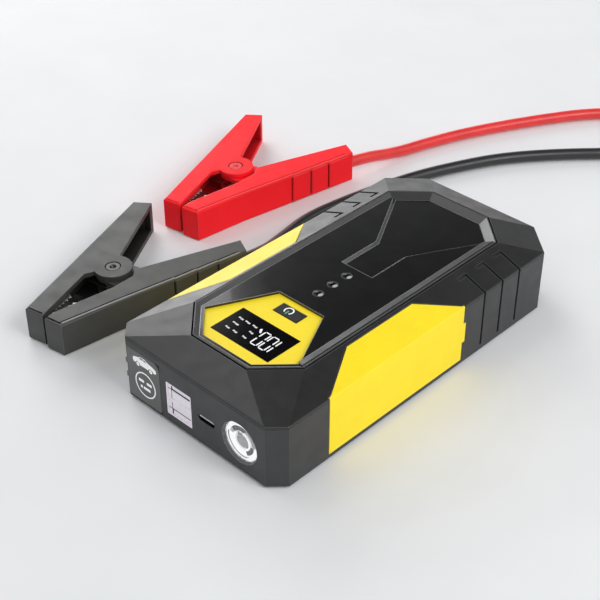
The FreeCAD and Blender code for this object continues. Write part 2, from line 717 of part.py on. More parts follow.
def is_near_rim(edge):
    """True for the top and bottom edges along the near side and the nose."""
    middle = edge.CenterOfMass
    flat = abs(edge.tangentAt(edge.FirstParameter).z) < 0.1
    long_enough = edge.Length > 4.0
    near_line = 9.9 + (42.8 - middle.x) * 0.33
    return flat and long_enough and (middle.y > near_line or middle.x > 42.5)


def grip_steps():
    """Low wedges on the near wall; each starts with a small step towards the nose."""
    wedges = []
    for start, end in zip(GRIP_STEPS_U, (*GRIP_STEPS_U[1:], -38.0)):
        v_start, v_end = near_edge_v(start), near_edge_v(end)
        plan = [(start, v_start - 0.5), (start, v_start + 0.6), (end, v_end), (end, v_end - 0.5)]
        wedges.append(prism(plan, 0.8, CLAMP_HEIGHT - 0.8))
    return wedges


def rim_groove():
    """Fine groove in the top and the underside, just inside the near edge and the nose."""
    inner, outer = [], []
    for points, depth in ((outer, RIM_WIDTH), (inner, RIM_WIDTH + 0.45)):
        points += [(NOSE_U - depth, 2.0), (42.7 - depth, 9.9 - depth)]
        points += [(17.5 - 0.33 * depth, near_edge_v(17.5) - depth), (-37.5, near_edge_v(-37.5) - depth * 1.06)]
    plan = outer + inner[::-1]
    return [prism(plan, CLAMP_HEIGHT - 0.4, CLAMP_HEIGHT + 1), prism(plan, -1, 0.4)]


def grip_lines():
    """Upright grooves in the near wall in front of each grip step."""
    lines = []
    for u in GRIP_STEPS_U:
        v = near_edge_v(u)
        lines.append(box((u, u + 0.7), (v - 0.9, v + 2), (1.2, CLAMP_HEIGHT - 1.2)))
    return lines


def lever_outline():
    """Plan of the lever: nose, jaw edge, ear, handle edge, tip and the straight outer edge."""
    return [(41.6, -9.8), (NOSE_U - 1.2, -1.1), (10.8, -6.2), (7.0, -3.9), (-7.2, -2.6),
            (-47.4, -17.6), (-43.4, -25.0)]


def make_lever():
    """Lever: a channel open towards the fixed half, with the outer ears."""
    top = CLAMP_HEIGHT
    body = prism(lever_outline(), 0, top)
    rim = [e for e in body.Edges if is_lever_rim(e)]
    body = body.makeFillet(0.6, rim)
    hollow_outline = [(39.4, -8.1), (39.4, 0.5), (10.8, -3.0), (7.0, 9.0), (-8.0, 9.0), (-8.0, 1.0),
                      (-45.4, -12.6), (-44.0, -19.6), (-41.8, -23.2), (-5.0, -15.9)]
    discs = [rod(EAR_RADIUS, Vec(0, 0, 0), Vec(0, 0, CLAMP_WALL)),
             rod(EAR_RADIUS, Vec(0, 0, top - CLAMP_WALL), Vec(0, 0, top))]
    body = fuse_all([body, *discs])
    cuts = [prism(hollow_outline, CLAMP_WALL, top - CLAMP_WALL)]
    cuts.append(rod(PIVOT_RADIUS + PIVOT_CLEARANCE, Vec(0, 0, -1), Vec(0, 0, top + 1)))
    cuts.append(rod(3.4, Vec(0, 0, top - 0.9), Vec(0, 0, top + 1)))
    cuts.append(rod(3.4, Vec(0, 0, -1), Vec(0, 0, 0.9)))
    return body.cut(cuts).removeSplitter()


def is_lever_rim(edge):
    """True for the lever's long outer edges, top and bottom, and its nose edges."""
    middle = edge.CenterOfMass
    flat = abs(edge.tangentAt(edge.FirstParameter).z) < 0.1
    outer = abs(middle.y + 17.4) < 1.0 and edge.Length > 60
    return flat and (outer or middle.x > 41)


def toothed_edge(start, end, sign):
    """Saw-tooth line between two points, with its roots a tooth depth back from the line."""
    count = int((end[0] - start[0]) / TOOTH_PITCH)
    points = []
    for i in range(2 * count + 1):
        share = i / (2 * count)
        back = 0 if i % 2 else sign * TOOTH_DEPTH
        points.append((start[0] + (end[0] - start[0]) * share, start[1] + (end[1] - start[1]) * share + back))
    return points


def make_jaw(sign):
    """Metal jaw: two toothed cheeks joined by a back. sign is 1 in the fixed half, -1 in the lever."""
    low, high = CLAMP_WALL, CLAMP_HEIGHT - CLAMP_WALL
    if sign > 0:
        teeth = toothed_edge((25.4, 1.4), (39.2, 0.2), sign)
        rest = [(39.1, 7.8), (17.0, 15.0), (10.5, 17.0), (10.5, 11.4), (17.0, 9.0), (23.6, 6.6)]
        back = [(39.1, 7.8), (17.0, 15.0), (17.0, 15.0 - JAW_SHEET), (39.1, 7.8 - JAW_SHEET)]
    else:
        teeth = toothed_edge((23.1, -1.6), (39.2, -0.2), sign)
        rest = [(39.0, -7.2), (17.0, -11.3), (11.5, -12.2), (11.5, -7.2), (21.6, -5.6)]
        back = [(39.0, -7.2), (17.0, -11.3), (17.0, -11.3 + JAW_SHEET), (39.0, -7.2 + JAW_SHEET)]
    cheek = teeth + rest
    plates = [prism(cheek, low, low + JAW_SHEET), prism(cheek, high - JAW_SHEET, high)]
    return fuse_all([*plates, prism(back, low, high)])


def make_rivet():
    """Hollow-ended pivot rivet through both pairs of ears."""
    top = CLAMP_HEIGHT
    shank = rod(PIVOT_RADIUS, Vec(0, 0, 0.3), Vec(0, 0, top - 0.3))
    heads = [rod(2.9, Vec(0, 0, top - 0.75), Vec(0, 0, top - 0.15)),
             rod(2.9, Vec(0, 0, 0.15), Vec(0, 0, 0.75))]
    body = fuse_all([shank, *heads])
    return body.cut(Part.makeCone(0.4, 1.5, 1.2, Vec(0, 0, top - 1.3)))


def make_clamp_spring():
    """Torsion spring round the rivet: a coil with one straight leg in each half."""
    low = CLAMP_HEIGHT / 2 - SPRING_TURNS * SPRING_PITCH / 2
    high = low + SPRING_TURNS * SPRING_PITCH
    steps = 16 * SPRING_TURNS
    lever_leg = [Vec(SPRING_RADIUS, v, low) for v in (-12.5, -8.5, -4.5)]
    body_leg = [Vec(SPRING_RADIUS, v, high) for v in (5.0, 9.0, 13.0, 17.5)]
    coil = []
    for i in range(steps + 1):
        angle = 2 * math.pi * SPRING_TURNS * i / steps
        z = low + (high - low) * i / steps
        coil.append(Vec(SPRING_RADIUS * math.cos(angle), SPRING_RADIUS * math.sin(angle), z))
    curve = Part.BSplineCurve()
    curve.interpolate(lever_leg + coil + body_leg)
    profile = Part.Wire(Part.makeCircle(SPRING_WIRE / 2, lever_leg[0], Vec(0, 1, 0)))
    return Part.Wire(curve.toShape()).makePipeShell([profile], True, False)


def lead_exit():
    """Where the lead leaves the fixed half, and its direction there."""
    heading = Vec(-0.913, 0.408, 0)
    return Vec(-42.0, 35.8, LEAD_EXIT_Z), heading


def make_lead_lug():
    """Crimp barrel round the lead's end and the strap that joins it to the fixed jaw."""
    start, heading = lead_exit()
    mouth = start - heading * 7.5
    barrel = rod(LUG_RADIUS, start - heading * 14.0, mouth)
    bore = rod(LEAD_DIAMETER / 2 + 0.02, start - heading * 10.6, mouth)
    end = start - heading * 13.0
    strap = prism([(10.5, 14.4), (10.5, 15.8), (-6.0, 21.4), (end.x, end.y + 1.4), (end.x - 0.6, end.y),
                   (-6.0, 20.0)], LEAD_EXIT_Z - 1.6, LEAD_EXIT_Z + 1.6)
    return fuse_all([barrel, strap]).cut(bore)


def place_clamp(shape, place):
    """Shape moved from the clamp's own frame to its place on the floor."""
    x, y, angle = place
    moved = shape.copy()
    moved.Placement = FreeCAD.Placement(Vec(x, y, 0), FreeCAD.Rotation(Vec(0, 0, 1), angle))
    return moved


# ---------------------------------------------------------------- leads and plug

def clamp_point(place, u, v, z):
    """Point of a clamp's own frame, in the pack's frame."""
    angle = math.radians(place[2])
    x = place[0] + u * math.cos(angle) - v * math.sin(angle)
    y = place[1] + u * math.sin(angle) + v * math.cos(angle)
    return Vec(x, y, z)


def lead_start(place):
    """First two points of a lead: inside the fixed half and just outside it."""
    start, heading = lead_exit()
    inner = start - heading * 10.5
    outer = start + heading * 8.5
    return [clamp_point(place, inner.x, inner.y, LEAD_EXIT_Z),
            clamp_point(place, outer.x, outer.y, LEAD_EXIT_Z)]


def plug_frame():
    """Plug placement: its length runs along its own X, from the leads to the contacts."""
    return FreeCAD.Placement(Vec(PLUG_CENTRE[0], PLUG_CENTRE[1], 0),
                             FreeCAD.Rotation(Vec(0, 0, 1), PLUG_HEADING))


def plug_entry(side):
    """Where a lead meets its strain relief; side is -1 for black and 1 for red."""
    back = -PLUG_SIZE[0] / 2 - RELIEF_LENGTH
    return plug_frame().multVec(Vec(back, side * 5.6, PLUG_Z))


def lead_end(side):
    """Last two points of a lead: in line with the plug, then inside the strain relief."""
    back = -PLUG_SIZE[0] / 2 - RELIEF_LENGTH
    return [plug_frame().multVec(Vec(back - 18, side * 5.6, PLUG_Z)), plug_entry(side)]


def black_route():
    """Black lead: along the pack's left side and out past its rear."""
    floor_points = [(-67.5, 31.0), (-71.0, 51.0), (-68.5, 72.0), (-64.8, 91.5), (-60.3, 111.5), (-51.8, 133.5),
                    (-40.5, 156.5), (-22.0, 179.5), (-3.0, 198.5), (8.5, 219.5), (17.5, 240.0)]
    middle = [Vec(x, y, LEAD_Z) for x, y in floor_points]
    return lead_start(BLACK_CLAMP) + middle + lead_end(-1)


def red_route():
    """Red lead: straight back from its clamp, curving to the right."""
    floor_points = [(-81.3, 123.4), (-76.3, 141.8), (-70.0, 160.6), (-61.0, 180.5), (-50.0, 201.5),
                    (-38.0, 221.5), (-24.0, 236.5), (-8.0, 250.5), (8.5, 260.0)]
    middle = [Vec(x, y, LEAD_Z) for x, y in floor_points]
    return lead_start(RED_CLAMP) + middle + lead_end(1)


def route_wire(points, name):
    """Straight runs joined by tangent arcs, each as large as its two runs allow."""
    edges = []
    here = points[0]
    radii = []
    for i in range(1, len(points) - 1):
        before, corner, after = points[i - 1], points[i], points[i + 1]
        d1 = (corner - before).normalize()
        d2 = (after - corner).normalize()
        turn = d1.getAngle(d2)
        shorter = min((corner - before).Length, (after - corner).Length)
        reach = 0.45 * shorter
        radii.append(reach / math.tan(turn / 2))
        arc_start, arc_end = corner - d1 * reach, corner + d2 * reach
        inward = (d2 - d1).normalize()
        centre_distance = radii[-1] / math.cos(turn / 2)
        arc_middle = corner + inward * (centre_distance - radii[-1])
        edges.append(Part.LineSegment(here, arc_start).toShape())
        edges.append(Part.Arc(arc_start, arc_middle, arc_end).toShape())
        here = arc_end
    edges.append(Part.LineSegment(here, points[-1]).toShape())
    print(name, "bend radii, mm:", [round(r) for r in radii])
    return Part.Wire(edges)


def make_lead(points, name):
    """Round lead along its route."""
    wire = route_wire(points, name)
    direction = points[1] - points[0]
    profile = Part.Wire(Part.makeCircle(LEAD_DIAMETER / 2, points[0], direction))
    lead = wire.makePipeShell([profile], True, True)
    expected = math.pi * LEAD_DIAMETER ** 2 / 4 * wire.Length
    print(name, "length %.1f mm, volume ratio %.4f" % (wire.Length, lead.Volume / expected))
    return lead


def make_plug_body():
    """Jump plug: a flat body with a narrower nose round the two contacts."""
    half = PLUG_SIZE[0] / 2
    rear = Part.makeBox(14.0, PLUG_SIZE[1], PLUG_SIZE[2], Vec(-half, -PLUG_SIZE[1] / 2, 0))
    rear = rear.makeFillet(1.5, [e for e in rear.Edges if abs(e.tangentAt(e.FirstParameter).x) > 0.9])
    nose = Part.makeBox(12.0, 16.4, 8.0, Vec(1, -8.2, PLUG_Z - 4.0))
    nose = nose.makeFillet(2.0, [e for e in nose.Edges if abs(e.tangentAt(e.FirstParameter).x) > 0.9])
    body = rear.fuse(nose).removeSplitter()
    for side in (-1, 1):
        y = side * CONTACT_PITCH / 2
        body = body.cut(rod(2.9, Vec(-2, y, PLUG_Z), Vec(half + 1, y, PLUG_Z)))
    body.Placement = plug_frame()
    return body


def make_plug_contacts():
    """Two round pins inside the plug's nose."""
    pins = []
    for side in (-1, 1):
        y = side * CONTACT_PITCH / 2
        pin = rod(1.7, Vec(-2, y, PLUG_Z), Vec(11.0, y, PLUG_Z))
        collar = rod(2.9, Vec(-2, y, PLUG_Z), Vec(1.0, y, PLUG_Z))
        pin = fuse_all([pin, collar])
        pin.Placement = plug_frame()
        pins.append(pin)
    return Part.makeCompound(pins)


def make_strain_reliefs():
    """Tapered sleeves where the leads enter the plug."""
    reliefs = []
    back = -PLUG_SIZE[0] / 2
    for side in (-1, 1):
        start = Vec(back - RELIEF_LENGTH, side * 5.6, PLUG_Z)
        sleeve = Part.makeCone(LEAD_DIAMETER / 2 + 0.5, 4.4, RELIEF_LENGTH, start, Vec(1, 0, 0))
        sleeve.Placement = plug_frame()
        reliefs.append(sleeve)
    return Part.makeCompound(reliefs)


# ---------------------------------------------------------------- all pieces

def pack_pieces():
    """Every piece of the pack itself."""
    right, left = both_sides(make_side_panel())
    return {
        "lower_shell": make_lower_shell(),
        "upper_shell": make_upper_shell(),
        "side_panel_right": right,
        "side_panel_left": left,
        "top_rim": make_top_rim(),
        "top_panel": make_top_panel(),
        "display_plate": make_display_plate(),
        "display_window": make_display_window(),
        "display_module": make_display_module(),
        "power_button": make_power_button(),
        "button_switch": make_button_switch(),
        "indicator_lights": make_indicator_lights(),
        "socket_cover": make_socket_cover(),
        "jump_socket": make_jump_socket(),
        "socket_contacts": make_socket_contacts(),
        "usb_a_shell": make_usb_a_shell(),
        "usb_a_inserts": make_usb_a_inserts(),
        "usb_c_socket": make_usb_c_socket(),
        "usb_c_tongue": make_usb_c_tongue(),
        "torch_lens": make_torch_lens(),
        "torch_reflector": make_torch_reflector(),
        "torch_led": make_torch_led(),
        "torch_board": make_torch_board(),
        "port_board": make_port_board(),
        "main_board": make_main_board(),
        "battery_cells": make_battery_cells(),
        "cell_pads": make_cell_pads(),
        "cell_bars": make_cell_bars(),
        "case_screws": make_case_screws(),
        "rubber_feet": make_rubber_feet(),
        "base_pad": make_base_pad(),
        "inner_leads": make_inner_leads(),
    }


def clamp_pieces():
    """Both clamps, each from the same seven shapes."""
    shapes = {
        "clamp_body": make_fixed_half(),
        "clamp_lever": make_lever(),
        "fixed_jaw": make_jaw(1),
        "lever_jaw": make_jaw(-1),
        "pivot_rivet": make_rivet(),
        "clamp_spring": make_clamp_spring(),
        "lead_lug": make_lead_lug(),
    }
    pieces = {}
    for colour, place in (("black", BLACK_CLAMP), ("red", RED_CLAMP)):
        for name, shape in shapes.items():
            pieces[colour + "_" + name] = place_clamp(shape, place)
    return pieces


def lead_pieces():
    """The leads and the jump plug at their far end."""
    return {
        "black_lead": make_lead(black_route(), "black lead"),
        "red_lead": make_lead(red_route(), "red lead"),
        "plug_body": make_plug_body(),
        "plug_contacts": make_plug_contacts(),
        "lead_strain_reliefs": make_strain_reliefs(),
    }


os.makedirs("parts", exist_ok=True)
for node, shape in {**pack_pieces(), **clamp_pieces(), **lead_pieces()}.items():
    shape.exportStep("parts/" + node + ".step")
    print("%-22s solids %d valid %s volume %.0f" % (node, len(shape.Solids), shape.isValid(), shape.Volume))
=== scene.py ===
import math

import bmesh
import bpy
from mathutils import Matrix, Vector


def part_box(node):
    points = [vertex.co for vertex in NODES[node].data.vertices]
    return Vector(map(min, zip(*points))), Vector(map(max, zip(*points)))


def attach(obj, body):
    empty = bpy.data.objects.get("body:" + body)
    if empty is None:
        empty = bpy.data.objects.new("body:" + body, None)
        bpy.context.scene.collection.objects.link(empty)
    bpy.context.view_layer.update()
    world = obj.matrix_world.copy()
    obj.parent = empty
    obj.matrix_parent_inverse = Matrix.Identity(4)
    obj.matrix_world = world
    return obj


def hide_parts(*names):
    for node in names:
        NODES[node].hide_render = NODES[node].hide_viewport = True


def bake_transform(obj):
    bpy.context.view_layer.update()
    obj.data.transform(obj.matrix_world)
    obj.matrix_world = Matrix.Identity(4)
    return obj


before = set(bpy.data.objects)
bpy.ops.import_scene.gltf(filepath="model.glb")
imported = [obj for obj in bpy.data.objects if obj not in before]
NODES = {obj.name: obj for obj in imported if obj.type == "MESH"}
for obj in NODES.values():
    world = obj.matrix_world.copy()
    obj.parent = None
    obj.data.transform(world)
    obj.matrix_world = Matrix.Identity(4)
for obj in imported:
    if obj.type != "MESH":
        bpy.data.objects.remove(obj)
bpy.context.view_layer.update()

SCENE = bpy.context.scene
# Pieces and routes are worked out in millimetres, and MM turns them into metres.
MM = 0.001


# ------------------------------------------------------------------ camera

SENSOR_WIDTH, FOCAL_LENGTH = 36.0, 78.59
CAMERA_AZIMUTH, CAMERA_ELEVATION = 43.944, 35.902
CAMERA_PLACE = (0.27288, -0.31046, 0.31862)
VIEW_START, VIEW_END = 0.02, 20.0


def add_camera():
    """Camera at the photograph's place: level, seen from the front right and above."""
    data = bpy.data.cameras.new("camera")
    data.sensor_width = SENSOR_WIDTH
    data.lens = FOCAL_LENGTH
    data.clip_start, data.clip_end = VIEW_START, VIEW_END
    camera = bpy.data.objects.new("camera", data)
    SCENE.collection.objects.link(camera)
    azimuth, elevation = math.radians(CAMERA_AZIMUTH), math.radians(CAMERA_ELEVATION)
    right = Vector((math.cos(azimuth), math.sin(azimuth), 0))
    back = Vector((math.sin(azimuth) * math.cos(elevation), -math.cos(azimuth) * math.cos(elevation),
                   math.sin(elevation)))
    up = back.cross(right)
    turn = Matrix((right, up, back)).transposed().to_4x4()
    camera.matrix_world = Matrix.Translation(Vector(CAMERA_PLACE)) @ turn
    SCENE.camera = camera


# ------------------------------------------------------------------ materials

# Sockets of the colour Mix node, which share their names with those of its other data types.
MIX_FACTOR, MIX_FIRST, MIX_SECOND, MIX_RESULT = 0, 6, 7, 2
# Feature sizes in metres.
EDGE_WIDTH = 0.0004
BLOTCH_SIZE, GLOSS_PATCH_SIZE, FLECK_SIZE = 0.011, 0.006, 0.0006
HOLLOW_SHADE_REACH, JAW_HOLLOW_SHADE_REACH = 0.022, 0.006
# Cosine between the rounded and the true surface, for the painted edge highlights, and open share of the sky,
# for the painted shade in hollows: from full effect to none.
EDGE_COSINES, OPEN_SHARES = (0.90, 0.995), (0.30, 0.62)


def scaled(colour, factor):
    """A colour made darker or lighter, up to full white."""
    return tuple(min(1.0, c * factor) for c in colour)


class Shader:
    """A Principled material and short ways to add nodes to it."""

    def __init__(self, name):
        self.material = bpy.data.materials.new(name)
        self.material.use_nodes = True
        self.tree = self.material.node_tree
        self.shader = self.tree.nodes["Principled BSDF"]
        self.place = self.add("ShaderNodeTexCoord").outputs["Object"]

    def add(self, kind, **settings):
        node = self.tree.nodes.new(kind)
        for key, value in settings.items():
            setattr(node, key, value)
        return node

    def link(self, source, target):
        self.tree.links.new(source, target)

    def noise(self, size, detail=3.0, stretch=(1, 1, 1)):
        """Noise with features of about a given size, in metres."""
        mapping = self.add("ShaderNodeMapping")
        mapping.inputs["Scale"].default_value = stretch
        self.link(self.place, mapping.inputs["Vector"])
        noise = self.add("ShaderNodeTexNoise")
        noise.inputs["Scale"].default_value = 1 / size
        noise.inputs["Detail"].default_value = detail
        self.link(mapping.outputs[0], noise.inputs["Vector"])
        return noise.outputs["Fac"]

    def spread(self, source, low, high, source_range=(0.3, 0.7)):
        """Map a texture value to a range."""
        node = self.add("ShaderNodeMapRange")
        node.inputs["From Min"].default_value, node.inputs["From Max"].default_value = source_range
        node.inputs["To Min"].default_value, node.inputs["To Max"].default_value = low, high
        self.link(source, node.inputs["Value"])
        return node.outputs[0]

    def mix(self, factor, first, second):
        """Blend of two colours, each a value or a socket."""
        node = self.add("ShaderNodeMix", data_type="RGBA")
        self.link(factor, node.inputs[MIX_FACTOR])
        for socket, colour in ((node.inputs[MIX_FIRST], first), (node.inputs[MIX_SECOND], second)):
            if isinstance(colour, bpy.types.NodeSocket):
                self.link(colour, socket)
            else:
                socket.default_value = (*colour, 1)
        return node.outputs[MIX_RESULT]

    def patchy(self, size, dark, light):
        """Soft patches between two colours."""
        return self.mix(self.spread(self.noise(size), 0, 1), dark, light)

    def edge_shading_mask(self, radius):
        """Near 1 on narrow bands along edges, 0 elsewhere: where painted edge highlights go."""
        bevel = self.add("ShaderNodeBevel", samples=4)
        bevel.inputs["Radius"].default_value = radius
        geometry = self.add("ShaderNodeNewGeometry")
        dot = self.add("ShaderNodeVectorMath", operation="DOT_PRODUCT")
        self.link(bevel.outputs[0], dot.inputs[0])
        self.link(geometry.outputs["Normal"], dot.inputs[1])
        return self.spread(dot.outputs["Value"], 1.0, 0.0, EDGE_COSINES)

    def hollow_shade_mask(self, reach, local=True):
        """Near 1 deep inside hollows, 0 on open surfaces: where painted shade goes."""
        shade = self.add("ShaderNodeAmbientOcclusion", samples=8, only_local=local)
        shade.inputs["Distance"].default_value = reach
        return self.spread(shade.outputs["AO"], 1.0, 0.0, OPEN_SHARES)

    def bump(self, height, distance, strength, soften=0.0):
        """Surface relief from a height, over edges softened by a radius."""
        node = self.add("ShaderNodeBump")
        node.inputs["Distance"].default_value = distance
        node.inputs["Strength"].default_value = strength
        self.link(height, node.inputs["Height"])
        if soften:
            bevel = self.add("ShaderNodeBevel", samples=4)
            bevel.inputs["Radius"].default_value = soften
            self.link(bevel.outputs[0], node.inputs["Normal"])
        self.link(node.outputs[0], self.shader.inputs["Normal"])

    def coat_with(self, tone, patch_size, rough_low, rough_high):
        """Base colour, and a roughness that differs from patch to patch."""
        self.link(tone, self.shader.inputs["Base Color"])
        self.link(self.spread(self.noise(patch_size), rough_low, rough_high), self.shader.inputs["Roughness"])

    def set(self, socket, value):
        """Value of a shader socket that is the same all over the surface."""
        self.shader.inputs[socket].default_value = value


def moulded(name, colour, rough=0.45, grain=0.35, relief=0.25, edge=None, vary=0.10, metal=0.0,
            specular=0.5, coat=0.0, soften=0.25, hollow_shade=None):
    """Moulded or coated surface: slight blotches, uneven gloss, fine grain, painted highlights along edges,
    painted shade in hollows.
    """
    s = Shader(name)
    tone = s.patchy(BLOTCH_SIZE, scaled(colour, 1 - vary), scaled(colour, 1 + vary))
    fleck = s.spread(s.noise(FLECK_SIZE, 2.0), 0, 0.35, (0.58, 0.72))
    tone = s.mix(fleck, tone, tuple(min(1.0, c * 1.25 + 0.004) for c in colour))
    # Painted highlight along the edges; where the edge colour is darker it paints a shade line.
    if edge:
        tone = s.mix(s.edge_shading_mask(EDGE_WIDTH), tone, edge)
    # Painted shade deep in hollows, from ambient occlusion.
    if hollow_shade:
        tone = s.mix(s.hollow_shade_mask(HOLLOW_SHADE_REACH), tone, hollow_shade)
    s.coat_with(tone, GLOSS_PATCH_SIZE, rough * 0.88, min(1.0, rough * 1.14))
    s.set("Metallic", metal)
    s.set("Specular IOR Level", specular)
    s.set("Coat Weight", coat)
    s.bump(s.noise(grain * MM, 2.0), 0.00004, relief, soften * MM)
    return s.material


def brushed(name, colour, rough, direction, relief=0.3, hollow_shade=None):
    """Metal with fine lines along one axis, with painted shade in hollows."""
    s = Shader(name)
    stretch = [1.0, 1.0, 1.0]
    stretch["xyz".index(direction)] = 0.04
    lines = s.noise(0.0003, 2.0, stretch)
    tone = s.mix(s.spread(lines, 0, 1), scaled(colour, 0.82), colour)
    # Painted shade deep in hollows, from ambient occlusion.
    if hollow_shade:
        tone = s.mix(s.hollow_shade_mask(JAW_HOLLOW_SHADE_REACH, False), tone, hollow_shade)
    s.coat_with(tone, 0.003, rough * 0.8, rough * 1.3)
    s.set("Metallic", 1.0)
    s.bump(lines, 0.00002, relief, 0.1 * MM)
    return s.material


def glowing(name, colour, glow, rough=0.5):
    """Lit or printed mark, a little uneven; on a mark that is no lamp the glow is painted light."""
    s = Shader(name)
    tone = s.patchy(0.0012, scaled(colour, 0.88), colour)
    s.link(tone, s.shader.inputs["Emission Color"])
    s.set("Emission Strength", glow)
    s.coat_with(tone, 0.002, rough * 0.85, rough * 1.15)
    s.bump(s.noise(0.0004, 2.0), 0.00002, 0.2)
    return s.material


def clear(name, colour, alpha, rough):
    """Clear plastic with faint moulding marks."""
    s = Shader(name)
    s.coat_with(s.patchy(0.004, scaled(colour, 0.92), colour), 0.005, rough * 0.8, rough * 1.3)
    s.set("Alpha", alpha)
    s.set("Coat Weight", 1.0)
    s.bump(s.noise(0.003, 2.0), 0.00002, 0.15)
    return s.material


def circuit_board(name):
    """Green lacquer over copper tracks."""
    s = Shader(name)
    tracks = s.add("ShaderNodeTexBrick")
    tracks.inputs["Scale"].default_value = 260
    tracks.inputs["Mortar Size"].default_value = 0.02
    s.link(s.place, tracks.inputs["Vector"])
    tone = s.mix(tracks.outputs["Fac"], (0.006, 0.075, 0.03), (0.03, 0.17, 0.06))
    tone = s.mix(s.spread(s.noise(0.004), 0, 0.5), tone, (0.01, 0.05, 0.02))
    s.coat_with(tone, 0.003, 0.28, 0.42)
    s.bump(tracks.outputs["Fac"], 0.00005, 0.4)
    return s.material


def rubber_jacket(name, colour, sheen):
    """Soft lead jacket: blotches, fine grain and a dusty sheen."""
    s = Shader(name)
    s.coat_with(s.patchy(0.008, scaled(colour, 0.85), colour), 0.004, 0.30, 0.42)
    s.set("Sheen Weight", sheen)
    s.set("Sheen Roughness", 0.4)
    s.bump(s.noise(0.0007, 2.0), 0.00005, 0.25)
    return s.material


YELLOW = (1.0, 0.76, 0.020)
RED = (1.0, 0.014, 0.022)

# The edge colours below paint highlights along edges; on the yellow plate the darker edge colour paints a
# shade line.
CASE = moulded("case_black", (0.033, 0.033, 0.034), 0.46, edge=(0.085, 0.085, 0.085), soften=0.5)
CASE_UPPER = moulded("case_black_upper", (0.015, 0.015, 0.0155), 0.40, edge=(0.10, 0.10, 0.10))
RIM = moulded("rim_black", (0.022, 0.022, 0.023), 0.30, 0.5, 0.15, edge=(0.05, 0.05, 0.05), coat=0.2)
# Darker copy of the rim black: painted shade on the rim's near side, with a painted highlight along its
# edges.
SHADED_RAMP = moulded("ramp_black_shaded", (0.012, 0.012, 0.0125), 0.40, 0.5, 0.15, edge=(0.16, 0.16, 0.16), specular=0.2)
PANEL = moulded("panel_gloss", (0.0075, 0.0075, 0.008), 0.16, 0.9, 0.06, edge=(0.42, 0.42, 0.42), coat=0.3)
YELLOW_WALL = moulded("yellow_plastic", YELLOW, 0.46, 0.4, 0.2, vary=0.03, edge=(1.0, 0.80, 0.10),
                      specular=0.3)
YELLOW_PLATE = moulded("yellow_plate", YELLOW, 0.40, 0.5, 0.12, vary=0.03, edge=(0.80, 0.62, 0.05),
                       specular=0.3)
WINDOW = moulded("window_gloss", (0.003, 0.003, 0.0035), 0.12, 1.2, 0.04, specular=0.1)
KEY = moulded("key_black", (0.010, 0.010, 0.010), 0.42, 0.3, 0.2, edge=(0.03, 0.03, 0.03), specular=0.3)
COVER = moulded("cover_rubber", (0.13, 0.13, 0.127), 0.62, 0.25, 0.35, edge=(0.15, 0.15, 0.15))
SOCKET = moulded("socket_plastic", (0.02, 0.02, 0.021), 0.5, 0.4, 0.2)
FEET = moulded("foot_rubber", (0.022, 0.022, 0.022), 0.8, 0.3, 0.5)
LABEL = moulded("base_label", (0.55, 0.55, 0.54), 0.55, 0.6, 0.15)
# Clamp plastics: the lighter edge colour is a painted highlight, and the last colour paints shade deep inside
# the clamps.
BLACK_ABS = moulded("clamp_black", (0.046, 0.046, 0.0435), 0.50, 0.4, 0.3, edge=(0.125, 0.125, 0.118),
                    soften=0.3, hollow_shade=(0.004, 0.004, 0.004))
# Dark lines of painted shadow and lighter ridges of painted highlight along the clamps' top edges.
BLACK_SHADE_LINE = moulded("clamp_black_shade", (0.003, 0.003, 0.003), 0.8, 0.4, 0.2, specular=0.1)
BLACK_RIDGE_HIGHLIGHT = moulded("clamp_black_ridge_highlight", (0.19, 0.19, 0.18), 0.38, 0.4, 0.2)
# Painted edge highlight and painted shade deep inside, as on the black clamp.
RED_ABS = moulded("clamp_red", RED, 0.52, 0.4, 0.25, vary=0.03, edge=(1.0, 0.11, 0.11), specular=0.14,
                  soften=0.8, hollow_shade=(0.30, 0.006, 0.008))
RED_SHADE_LINE = moulded("clamp_red_shade", (0.72, 0.008, 0.013), 0.8, 0.4, 0.2, specular=0.05)
RED_RIDGE_HIGHLIGHT = moulded("clamp_red_ridge_highlight", (1.0, 0.075, 0.075), 0.6, 0.4, 0.2, specular=0.1)
RED_RIVET = moulded("rivet_red", (0.80, 0.022, 0.028), 0.34, 0.4, 0.2, vary=0.06, coat=0.2)
POUCH = moulded("cell_pouch", (0.62, 0.63, 0.65), 0.30, 1.5, 0.6, metal=0.9)
FOAM = moulded("cell_foam", (0.06, 0.06, 0.062), 0.9, 0.6, 0.8)
PLUG_BLUE = moulded("plug_nylon", (0.03, 0.06, 0.24), 0.45, 0.4, 0.25, edge=(0.09, 0.14, 0.36))
STEEL = brushed("steel", (0.62, 0.62, 0.61), 0.28, "z")
RIVET = brushed("rivet_steel", (0.062, 0.062, 0.060), 0.26, "x")
# Jaw steel darkened as painted shade inside the clamps, with painted shade in hollows; the copper jaws also
# get painted shade in hollows.
SHADED_JAW_STEEL = brushed("jaw_steel_shaded", (0.36, 0.355, 0.34), 0.42, "x", hollow_shade=(0.012, 0.012, 0.011))
RED_JAW = brushed("jaw_copper", (0.58, 0.33, 0.30), 0.4, "x", hollow_shade=(0.07, 0.008, 0.008))
PORT_STEEL = brushed("port_steel", (0.05, 0.05, 0.05), 0.4, "y")
COPPER = brushed("copper", (0.78, 0.40, 0.24), 0.30, "x")
NICKEL = brushed("nickel", (0.70, 0.68, 0.62), 0.22, "y")
CHROME = brushed("reflector_chrome", (0.97, 0.97, 0.98), 0.05, "y", 0.02)
